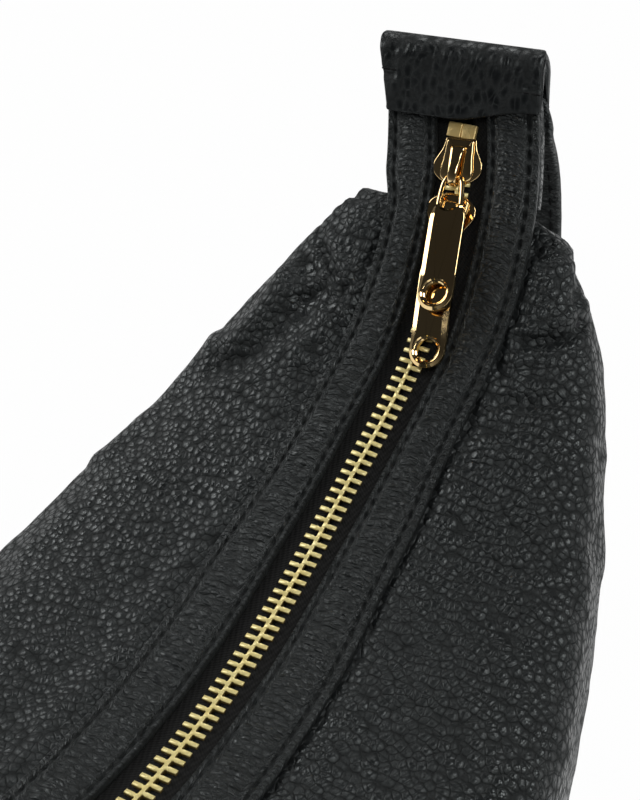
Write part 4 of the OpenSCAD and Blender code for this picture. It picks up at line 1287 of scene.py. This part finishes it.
makePull("outerPull", "outer", "outer_pull")
makePull("innerPull", "inner", "inner_pull")
print("sliders and pulls made")


# Horn backings, tabs and strap
tab = {
    "run": 156.0, "top": 3.4, "bottom": 7.95, "thick": 1.5, "reach": 5.0, "backRun": 161.0,
    "left": 22.9, "leftSlope": 0.36, "right": -16.4, "rightSlope": 0.18, "backInset": 1.6,
    "hemRight": 2.8, "hemMiddle": -1.8, "hemLeft": -2.4, "hemBend": 0.25, "hemRun": 12,
    "farRight": 0.3, "farLeft": -0.9, "tackBack": 4.8, "tacks": (1.1, 3.4),
}
# Section of a horn's backing: share of the half width, height; outside and then inside
backingLoop = [
    (1.0, -0.25), (1.0, 1.0), (0.995, 2.6), (0.96, 3.6), (0.9, 4.05), (0.6, 4.05), (0.0, 4.05),
    (-0.6, 4.05), (-0.9, 4.05), (-0.96, 3.6), (-0.995, 2.6), (-1.0, 1.0), (-1.0, -0.25),
    (-0.78, -0.25), (-0.77, 1.6), (-0.72, 2.8), (-0.4, 2.85), (0.0, 2.85), (0.4, 2.85), (0.72, 2.8),
    (0.77, 1.6), (0.78, -0.25),
]


def makeBacking(name, sign, node):
    s = np.linspace(bag["shoulderRun"] + bag["noseRun"] + 0.3, strip["run"], 90)
    mid = lean(s) + swayOf(stripSway, s) * (sign > 0)
    loop = np.array(backingLoop)
    y = mid[:, None] + stripHalf(s)[:, None] * loop[None, :, 0]
    rings = arcPoint(s[:, None], loop[None, :, 1], y)
    rings[..., 0] *= sign
    done(tube(name, rings, stripLeather), "bag", [node])


makeBacking("hornBackingRight", 1, "horn_backing_right")
makeBacking("hornBackingLeft", -1, "horn_backing_left")


# Side view of a tab as a closed loop of (place along the zip, depth)
def tabProfile():
    run, end, back, t = tab["run"], strip["run"] + 0.1, tab["backRun"], tab["thick"]
    top, low = -tab["top"], tab["bottom"]
    r, mid = (low - top) / 2, (top + low) / 2
    flat, short = np.linspace(0, 1, 34), np.linspace(0, 1, 12)
    turn = np.linspace(0, math.pi, 40)[1:-1]
    loop = [(run + (end - run) * k, top) for k in flat]
    loop += [(end + tab["reach"] * math.sin(a), mid - r * math.cos(a)) for a in turn]
    loop += [(end + (back - end) * k, low) for k in short]
    loop += [(back + (end - back) * k, low - t) for k in short]
    loop += [(end + (tab["reach"] - t) * math.sin(a), mid - (r - t) * math.cos(a)) for a in turn[::-1]]
    loop += [(end + (run - end) * k, top + t) for k in flat]
    return np.array(loop)


# Shift of the tab's lower hem and of its far fold, from its right side (-1) to its left (1)
def tabShift(share, x, depth):
    bend = tab["hemBend"]
    hem = tab["hemRight"] + (tab["hemMiddle"] - tab["hemRight"]) * smooth((share + 1) / (1 + bend))
    hem += (tab["hemLeft"] - tab["hemMiddle"]) * clip01((share - bend) / (1 - bend))
    hem = hem * clip01((strip["run"] - x) / tab["hemRun"]) * (depth < 0)
    far = np.interp(share, [-1, 1], [tab["farRight"], tab["farLeft"]])
    return hem + far * smooth((x - strip["run"] + 4) / 8)


# Small waves, a creased fold and the dents of the side tacks
def tabSwell(share, x, depth, y, run, outside, sign):
    ripple = np.stack([run * 0.3, y], -1)
    swell = 0.08 * waves(np.stack([x, y], -1), 11, 61 + sign) + 0.05 * waves(ripple, 5, 62 + sign)
    fold = np.exp(-((run - (strip["run"] - tab["run"]) - 1.5) / 3.2) ** 2)
    swell += 0.30 * fold * (np.minimum(1, np.abs(waves(ripple, 2.8, 66)) * 1.3) - 0.6)
    dent = np.exp(-((x - strip["run"] + tab["tackBack"]) / 0.8) ** 2) * smooth((abs(share) - 0.76) / 0.1)
    return (swell - 0.5 * dent * (depth < 0)) * outside


def makeTab(name, sign, node):
    loop = tabProfile()
    m = len(loop)
    n = outlineNormals(loop)
    n *= np.sign(np.sum(loop[:, 0] * np.roll(loop[:, 1], -1) - np.roll(loop[:, 0], -1) * loop[:, 1]))
    shares = np.concatenate([[-1, -0.994, -0.98], np.linspace(-0.955, 0.955, 96), [0.98, 0.994, 1]])
    insets = np.concatenate([[0.5, 0.2, 0.05], np.zeros(96), [0.05, 0.2, 0.5]])
    outside = np.arange(m) < m / 2
    run = np.concatenate([[0], np.cumsum(np.linalg.norm(np.diff(loop, axis=0), axis=1))])
    rings = []
    for share, inset in zip(shares, insets):
        x, depth = (loop - n * inset).T
        s = x + tabShift(share, x, depth)
        left = tab["left"] + tab["leftSlope"] * (s - tab["run"])
        right = tab["right"] + tab["rightSlope"] * (s - tab["run"])
        right = right + tab["backInset"] * smooth((depth + 1) / 6)
        y = (left + right) / 2 + share * (left - right) / 2
        p = arcPoint(s, depth + n[:, 1] * tabSwell(share, x, depth, y, run, outside, sign), y)
        p[:, 0] *= sign
        rings.append(p)
    done(tube(name, np.array(rings), tabLeather), "bag", [node])
    places = []
    tack = strip["run"] - tab["tackBack"]
    for edge, slope, inward in ((tab["left"], tab["leftSlope"], -1), (tab["right"], tab["rightSlope"], 1)):
        for k in tab["tacks"]:
            y = edge + slope * (tack - tab["run"]) + inward * k
            places.append(arcPoint(tack, -tab["top"] + 0.12, y) * np.array([sign, 1, 1]))
    angle = tack / bag["arcR"]
    up = np.array([-math.sin(angle) * sign, 0, math.cos(angle)])
    ways, ups = [(0, 1, 0)] * len(places), [up] * len(places)
    tacks = scatter(name + "Tacks", stitch, places, ways, ups, threadFinish, 0.85, 0.05)
    done(tacks, "bag")


makeTab("tabRight", 1, "tab_right")
makeTab("tabLeft", -1, "tab_left")

strap = {
    "half": 17.0, "t": 2.2, "hangX": 149.043, "runY": 130.0, "footR": 26.0, "barR": 1.9, "buckleL": 24.0,
    "heelX": -25.0, "tail": 80.0, "holePitch": 20.0, "hole": 1.7, "slotHalf": 1.6, "wrapSlotHalf": 2.85,
    "keeperW": 8.0, "keeperT": 1.5, "keeperRound": 1.5, "keeperGap": 1.0, "keeperApart": 20.0,
    "twistRise": 30.0, "lead": 6.0, "swing": 26.0, "slope": 22.0, "leaf": 66.0, "bowOut": 3.0, "bowAt": 164.0,
    "sideStep": 2.0, "sideStepAt": 174.0, "depth": 5.25, "air": 0.1,
    "stitchPitch": 3.8, "stitchStart": 30.0, "stitchEnd": 5.0, "stitchRow": 0.86, "stitchLift": 0.93,
}
floorZ = strap["t"] / 2
runZ = strap["keeperT"] + strap["air"] + strap["t"] / 2
layerRise = strap["t"] + strap["air"]
barZ = runZ + strap["t"] / 2 + strap["air"] + strap["barR"]
creaseR = strap["t"] / 2 + 0.3


def unit(v):
    v = np.asarray(v, float)
    return v / np.linalg.norm(v)


def bezier(a, b, c, d, t):
    return (1 - t) ** 3 * a + 3 * (1 - t) ** 2 * t * b + 3 * (1 - t) * t ** 2 * c + t ** 3 * d


# Rings of the strap as middle, half-width vector and half-thickness vector: out of the tab,
# down with a quarter turn, round at the foot and folded flat on the table
def hangRings():
    half, h = strap["half"], strap["t"] / 2
    hangX, foot = strap["hangX"], strap["footR"]
    rows = []
    across = np.array([0, half, 0.0])

    def ring(c, w, t):
        rows.append((np.asarray(c, float), np.asarray(w, float), unit(np.cross(w, t)) * h))

    exitS = tab["run"]
    for i in range(4):
        s = strip["run"] + (exitS - strip["run"]) * i / 4
        a = s / bag["arcR"]
        ring(arcPoint(s, strap["depth"], lean(s)), across, (-math.cos(a), 0, -math.sin(a)))
    p0 = arcPoint(exitS, strap["depth"], lean(exitS))
    a = exitS / bag["arcR"]
    way = np.array([-math.cos(a), 0, -math.sin(a)])
    top = bag["zipLow"] + strap["twistRise"]
    side = float(lean(exitS))
    p3 = np.array([hangX, side, top])
    q = (p0, p0 + strap["lead"] * way, p3 + np.array([0, 0, strap["swing"]]), p3)
    for i in range(10):
        t = i / 10
        c, n = bezier(*q, t), bezier(*q, t + 0.01)
        ring(c, across, n - c)
    twistEnd = floorZ + foot
    for i in range(15):
        t = i / 14
        turned = float(smooth(t))
        turn = math.radians(90 * turned)
        ring((hangX, side * (1 - turned), top + (twistEnd - top) * t),
             (half * math.sin(turn), half * math.cos(turn), 0), (0, 0, -1))
    for i in range(1, 7):
        a = math.radians(90 * i / 6)
        ring((hangX, foot * (1 - math.cos(a)), floorZ + foot * (1 - math.sin(a))),
             (half, 0, 0), (0, math.sin(a), -math.cos(a)))
    for i in range(5):
        a = math.radians(45 * i)
        n = math.sin(a) / math.sqrt(2)
        o = creaseR * n
        rows.append((np.array([hangX + o, strap["runY"] + o, floorZ + creaseR * (1 - math.cos(a))]),
                     np.array([half, -half, 0.0]), np.array([-n, -n, math.cos(a)]) * h))
    return rows


# The strap's run along the table, through places of (x, height)
def runRings(places):
    p = np.array(places, float)
    rows = []
    w = np.array([0, -strap["half"], 0.0])
    for i in range(len(p)):
        t = p[min(len(p) - 1, i + 1)] - p[max(0, i - 1)]
        up = unit(np.cross(w, (t[0], 0, t[1]))) * strap["t"] / 2
        rows.append((np.array([p[i, 0], strap["runY"], p[i, 1]]), w, up))
    return rows


# The long part goes over the buckle's bars and the short part wraps round one
def strapPlaces():
    foldX, creaseZ = strap["hangX"] - strap["half"], floorZ + 2 * creaseR
    heel, bar, t = strap["heelX"], strap["barR"], strap["t"]
    front = heel + strap["buckleL"]
    over = barZ + bar + 0.2 + 3 * t / 2
    stack = runZ + 2 * layerRise
    start = [(foldX - 1, creaseZ), (foldX - strap["slope"], runZ)]
    long = start + [
        (front + 4 * bar, runZ), (front - bar, runZ), (front - 3 * bar, runZ + t / 2),
        (heel + 5 * bar, (runZ + over) / 2), (heel + 3 * bar, over - t / 2), (heel + bar, over),
        (heel - 2 * bar, over), (heel - 5 * bar, (over + stack) / 2 + 0.1), (heel - 8 * bar, stack),
        (heel - strap["tail"], stack)]
    wrap = bar + 0.1 + t / 2
    turns = [math.pi * i / 8 for i in range(9)]
    short = start + [(-heel - wrap * math.sin(a), barZ - wrap * math.cos(a)) for a in turns]
    short += [(-heel + 2 * bar, barZ + wrap - 0.1), (-heel + 5 * bar, (barZ + wrap + runZ + layerRise) / 2),
              (-heel + 8 * bar, runZ + layerRise), (strap["leaf"] - heel, runZ + layerRise)]
    return long, short


# Extra rings in between, at most 2.5 mm apart
def strapRings(rows):
    c, w, t = (np.array(column) for column in zip(*rows))
    steps = [max(2, int(math.ceil(g / 2.5))) for g in np.linalg.norm(np.diff(c, axis=0), axis=1)]

    def finer(v):
        spans = [v[i] + (v[i + 1] - v[i]) * (np.arange(n)[:, None] / n) for i, n in enumerate(steps)]
        return np.concatenate(spans + [v[-1:]])

    c, w, t = finer(c), finer(w), finer(t)
    t *= strap["t"] / 2 / np.linalg.norm(t, axis=1, keepdims=True)
    return c, w, t


# Half of the strap's section, with a groove under each row of stitches: share of width, of thickness
strapHalf = [(-1, 0.45), (-0.985, 0.85), (-0.955, 1), (-0.9, 0.96), (-0.86, 0.9), (-0.82, 0.97), (-0.6, 1),
             (-0.2, 1), (0.2, 1), (0.6, 1), (0.82, 0.97), (0.86, 0.9), (0.9, 0.96), (0.955, 1),
             (0.985, 0.85), (1, 0.45)]
strapSection = np.array([(x, -z) for x, z in strapHalf] + strapHalf[::-1])


def strapStitches(name, c, w, t, flip):
    run = lengthAlong(c, 0)
    k = np.arange(strap["stitchStart"], run[-1] - strap["stitchEnd"], strap["stitchPitch"])

    def at(v):
        return np.stack([np.interp(k, run, v[:, i]) for i in range(3)], -1)

    c, w, t = at(c), at(w), at(t)
    way = np.gradient(c, axis=0)
    way /= np.linalg.norm(way, axis=1, keepdims=True)
    places, ways, ups = [], [], []
    for side in (-1, 1):
        for face in (-1, 1):
            places.append((c + strap["stitchRow"] * side * w + strap["stitchLift"] * face * t) * flip)
            ways.append(way * flip)
            ups.append(t * face / np.linalg.norm(t, axis=1, keepdims=True) * flip)
    threads = scatter(name + "Stitches", stitch, np.concatenate(places), np.concatenate(ways),
                      np.concatenate(ups), threadFinish, 1.0, 0.06)
    for v in threads.data.vertices:
        v.co.z = max(v.co.z, 0.0)  # pressed flat where the strap lies on the table
    done(threads, "bag")


def makeStrap(name, places, node, sign, cutter):
    c, w, t = strapRings(hangRings() + runRings(places))
    c[:, 1] -= strap["sideStep"] * np.exp(-((c[:, 2] - strap["sideStepAt"]) / 10) ** 2)
    bow = np.exp(-((c[:, 2] - strap["bowAt"]) / 15) ** 2) * smooth((bag["zipLow"] + 76 - c[:, 2]) / 8)
    c[:, 0] += strap["bowOut"] * bow
    flip = np.array([sign, 1, 1])
    rings = c[:, None] + strapSection[None, :, :1] * w[:, None] + strapSection[None, :, 1:] * t[:, None]
    ob = tube(name, rings * flip, stripLeather)
    mod = ob.modifiers.new("holes", "BOOLEAN")
    mod.operation = "DIFFERENCE"
    mod.solver = "EXACT"
    mod.object = cutter
    baked(ob)
    bpy.data.objects.remove(cutter)
    done(ob, "bag", [node])
    strapStitches(name, c, w, t, flip)


# A round cutter that stands upright
def holeCutter(x, y, z, r, length, sides=28):
    a = np.linspace(0, 2 * math.pi, sides, endpoint=False)
    u = unit(np.cross((0, 0, 1), (0.3, 1, 0.2)))
    v = np.cross((0, 0, 1), u)
    ring = r * (np.cos(a)[:, None] * u + np.sin(a)[:, None] * v)
    rings = np.stack([np.array((x, y, z)) + ring + np.array((0, 0, length * k)) for k in (-0.5, 0.5)])
    return tube("hole", rings, edgePaint)


def slotCutter(x0, x1, half):
    y = strap["runY"]
    return bevelBox("slot", (x0, y - half, -5), (x1, y + half, 30), 0.8, edgePaint)


def makeStraps():
    heel, bar = strap["heelX"], strap["barR"]
    longPlaces, shortPlaces = strapPlaces()
    cutters = [holeCutter(heel + 5 * bar + i * strap["holePitch"], strap["runY"], 10, strap["hole"], 40)
               for i in (-3, -2, -1, 1, 2, 3)]
    cutters.append(slotCutter(heel + bar / 2, heel + 9 * bar, strap["slotHalf"]))
    makeStrap("longStrap", longPlaces, "long_strap", 1, joined("strapHoles", cutters))
    cutter = slotCutter(heel - 4 * bar, heel + 4 * bar, strap["wrapSlotHalf"])
    makeStrap("shortStrap", shortPlaces, "short_strap", -1, cutter)


makeStraps()

# Section of a keeper's band: share of its width, of its thickness
keeperSection = [(-1, -0.3), (-0.97, -0.8), (-0.9, -1), (0.9, -1), (0.97, -0.8), (1, -0.3), (1, 0.3),
                 (0.97, 0.85), (0.9, 1), (0.5, 1.0), (0.0, 1.0), (-0.5, 1.0), (-0.9, 1), (-0.97, 0.85),
                 (-1, 0.3)]


def makeKeeper(name, x, node, body):
    t, air = strap["keeperT"], strap["air"]
    low = runZ - strap["t"] / 2 - air
    high = low + 3 * layerRise + air
    w, h = strap["half"] + air + t / 2, (high - low) / 2 + t / 2
    r, thick = strap["keeperRound"], 0.96 * t / 2
    rings = []
    for q, (sy, sz) in enumerate(((1, 1), (-1, 1), (-1, -1), (1, -1))):
        for a in np.linspace(0, math.pi / 2, 6) + q * math.pi / 2:
            ny, nz = math.cos(a), math.sin(a)
            y = strap["runY"] + sy * (w - r) + r * ny
            z = (low + high) / 2 + sz * (h - r) + r * nz
            rings.append([(x + sx * strap["keeperW"] / 2, y + ny * sr * thick, z + nz * sr * thick)
                          for sx, sr in keeperSection])
    done(tube(name, np.array(rings), stripLeather, closed=True), body, [node])


keeperX = strap["heelX"] - 8 * strap["barR"] - strap["keeperW"] / 2 - strap["keeperGap"]
looseX = keeperX - strap["keeperW"] - strap["keeperGap"] - strap["keeperApart"]
makeKeeper("fixedKeeper", keeperX, "fixed_keeper", "bag")
makeKeeper("looseKeeper", looseX, "loose_keeper", "sliding_keeper")

for node in ("buckle_frame", "buckle_prong"):
    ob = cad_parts[node]
    ob.data.materials.clear()
    ob.data.materials.append(castGold)
for prototype in (stitch, tooth):
    bpy.data.objects.remove(prototype)
print("strap made")


# Floor, light and camera
studio = {
    "floor": 0.80, "floorHalf": 4000, "seenShare": 0.98, "world": 0.5,
    "horizon": 0.45, "overhead": (0.05, 0.05, 0.055), "room": ((0.15, 0.28), (0.4, 0.12), (0.7, 0.05)),
}
# Lamps in metres and watts
lamps = {
    "keyLight": {"place": (0.08, 1.08, 0.78), "target": (0.07, 0.0, 0.14), "size": (0.8, 0.6),
                 "power": 6.6},
    "fillLight": {"place": (0.42, -0.75, 1.00), "target": (0.08, 0.0, 0.12), "size": (0.5, 0.5),
                  "power": 5.6},
    "topLight": {"place": (0.95, 0.40, 0.88), "target": (0.08, 0.0, 0.12), "size": (0.3, 0.3),
                 "power": 1.8},
    "sideLight": {"place": (-0.55, -0.38, 1.12), "target": (0.08, 0.0, 0.12), "size": (0.35, 0.35),
                  "power": 2.8},
}


# Matte where it is lit, and white to the camera and in reflections
def makeFloor():
    mat = bpy.data.materials.new("floorWhite")
    mat.use_nodes = True
    tree = mat.node_tree
    tree.nodes.clear()
    add = nodeMaker(tree)
    link = tree.links.new
    matte = add("ShaderNodeBsdfDiffuse")
    matte.inputs[0].default_value = (*[studio["floor"]] * 3, 1)
    glow = add("ShaderNodeEmission")
    glow.inputs[0].default_value = (1, 1, 1, 1)
    path = add("ShaderNodeLightPath")
    seen = mathNode(tree, add, "MAXIMUM", path.outputs["Is Camera Ray"], path.outputs["Is Transmission Ray"])
    seen = mathNode(tree, add, "MAXIMUM", seen, path.outputs["Is Glossy Ray"])
    mix = add("ShaderNodeMixShader")
    link(mathNode(tree, add, "MULTIPLY", seen, studio["seenShare"]), mix.inputs[0])
    link(matte.outputs[0], mix.inputs[1])
    link(glow.outputs[0], mix.inputs[2])
    link(mix.outputs[0], add("ShaderNodeOutputMaterial").inputs[0])
    size = studio["floorHalf"]
    corners = [(-size, -size, 0), (size, -size, 0), (size, size, 0), (-size, size, 0)]
    addMesh("floor", corners, [(0, 1, 2, 3)], finish=mat, outward=False)


makeFloor()


# A dim room: paler near the horizon, dark overhead, and white to the camera
def makeWorld():
    world = bpy.data.worlds.new("studio")
    bpy.context.scene.world = world
    world.use_nodes = True
    tree = world.node_tree
    tree.nodes.clear()
    add = nodeMaker(tree)
    link = tree.links.new
    coords = add("ShaderNodeTexCoord")
    split = add("ShaderNodeSeparateXYZ")
    link(coords.outputs["Generated"], split.inputs[0])
    ramp = add("ShaderNodeValToRGB")
    link(split.outputs[2], ramp.inputs[0])
    steps = ramp.color_ramp.elements
    steps[0].position, steps[0].color = 0.0, (*[studio["horizon"]] * 3, 1)
    steps[1].position, steps[1].color = 1.0, (*studio["overhead"], 1)
    for position, value in studio["room"]:
        steps.new(position).color = (value, value, value * 1.03, 1)
    room = add("ShaderNodeBackground")
    link(ramp.outputs[0], room.inputs[0])
    room.inputs[1].default_value = studio["world"]
    white = add("ShaderNodeBackground")
    white.inputs[0].default_value = (1, 1, 1, 1)
    mix = add("ShaderNodeMixShader")
    link(add("ShaderNodeLightPath").outputs["Is Camera Ray"], mix.inputs[0])
    link(room.outputs[0], mix.inputs[1])
    link(white.outputs[0], mix.inputs[2])
    link(mix.outputs[0], add("ShaderNodeOutputWorld").inputs[0])


makeWorld()


def areaLight(name, lamp):
    data = bpy.data.lights.new(name, "AREA")
    data.shape = "RECTANGLE"
    data.size, data.size_y = lamp["size"]
    data.energy = lamp["power"]
    ob = bpy.data.objects.new(name, data)
    ob.location = lamp["place"]
    ob.rotation_euler = (Vector(lamp["target"]) - Vector(lamp["place"])).to_track_quat("-Z", "Y").to_euler()
    bpy.context.scene.collection.objects.link(ob)


for name, lamp in lamps.items():
    areaLight(name, lamp)

# Camera at the photograph's place: the eye, its axes and the lens come from the zip's curve and the tab
view = {"azimuth": -55.79, "elevation": 38.18, "roll": -6.13, "distance": 327.46, "slideX": -18.23,
        "slideY": -17.87, "target": (90.0, 0.0, 146.0), "lens": 64.84}


def makeCamera():
    a, e, r = (math.radians(view[k]) for k in ("azimuth", "elevation", "roll"))
    back = np.array([math.sin(a) * math.cos(e), -math.cos(a) * math.cos(e), math.sin(e)])
    right = np.array([math.cos(a), math.sin(a), 0])
    up = np.cross(back, right)
    right, up = math.cos(r) * right + math.sin(r) * up, -math.sin(r) * right + math.cos(r) * up
    eye = np.array(view["target"]) + right * view["slideX"] + up * view["slideY"] + back * view["distance"]
    data = bpy.data.cameras.new("photoView")
    data.lens = view["lens"]
    data.sensor_width = 36
    data.sensor_fit = "AUTO"
    data.clip_start = 0.01
    ob = bpy.data.objects.new("photoView", data)
    ob.matrix_world = Matrix([*np.column_stack([right, up, back, eye * mm]).tolist(), [0, 0, 0, 1]])
    bpy.context.scene.collection.objects.link(ob)
    bpy.context.scene.camera = ob


makeCamera()
bpy.context.scene.view_settings.view_transform = "Standard"
print("studio made")
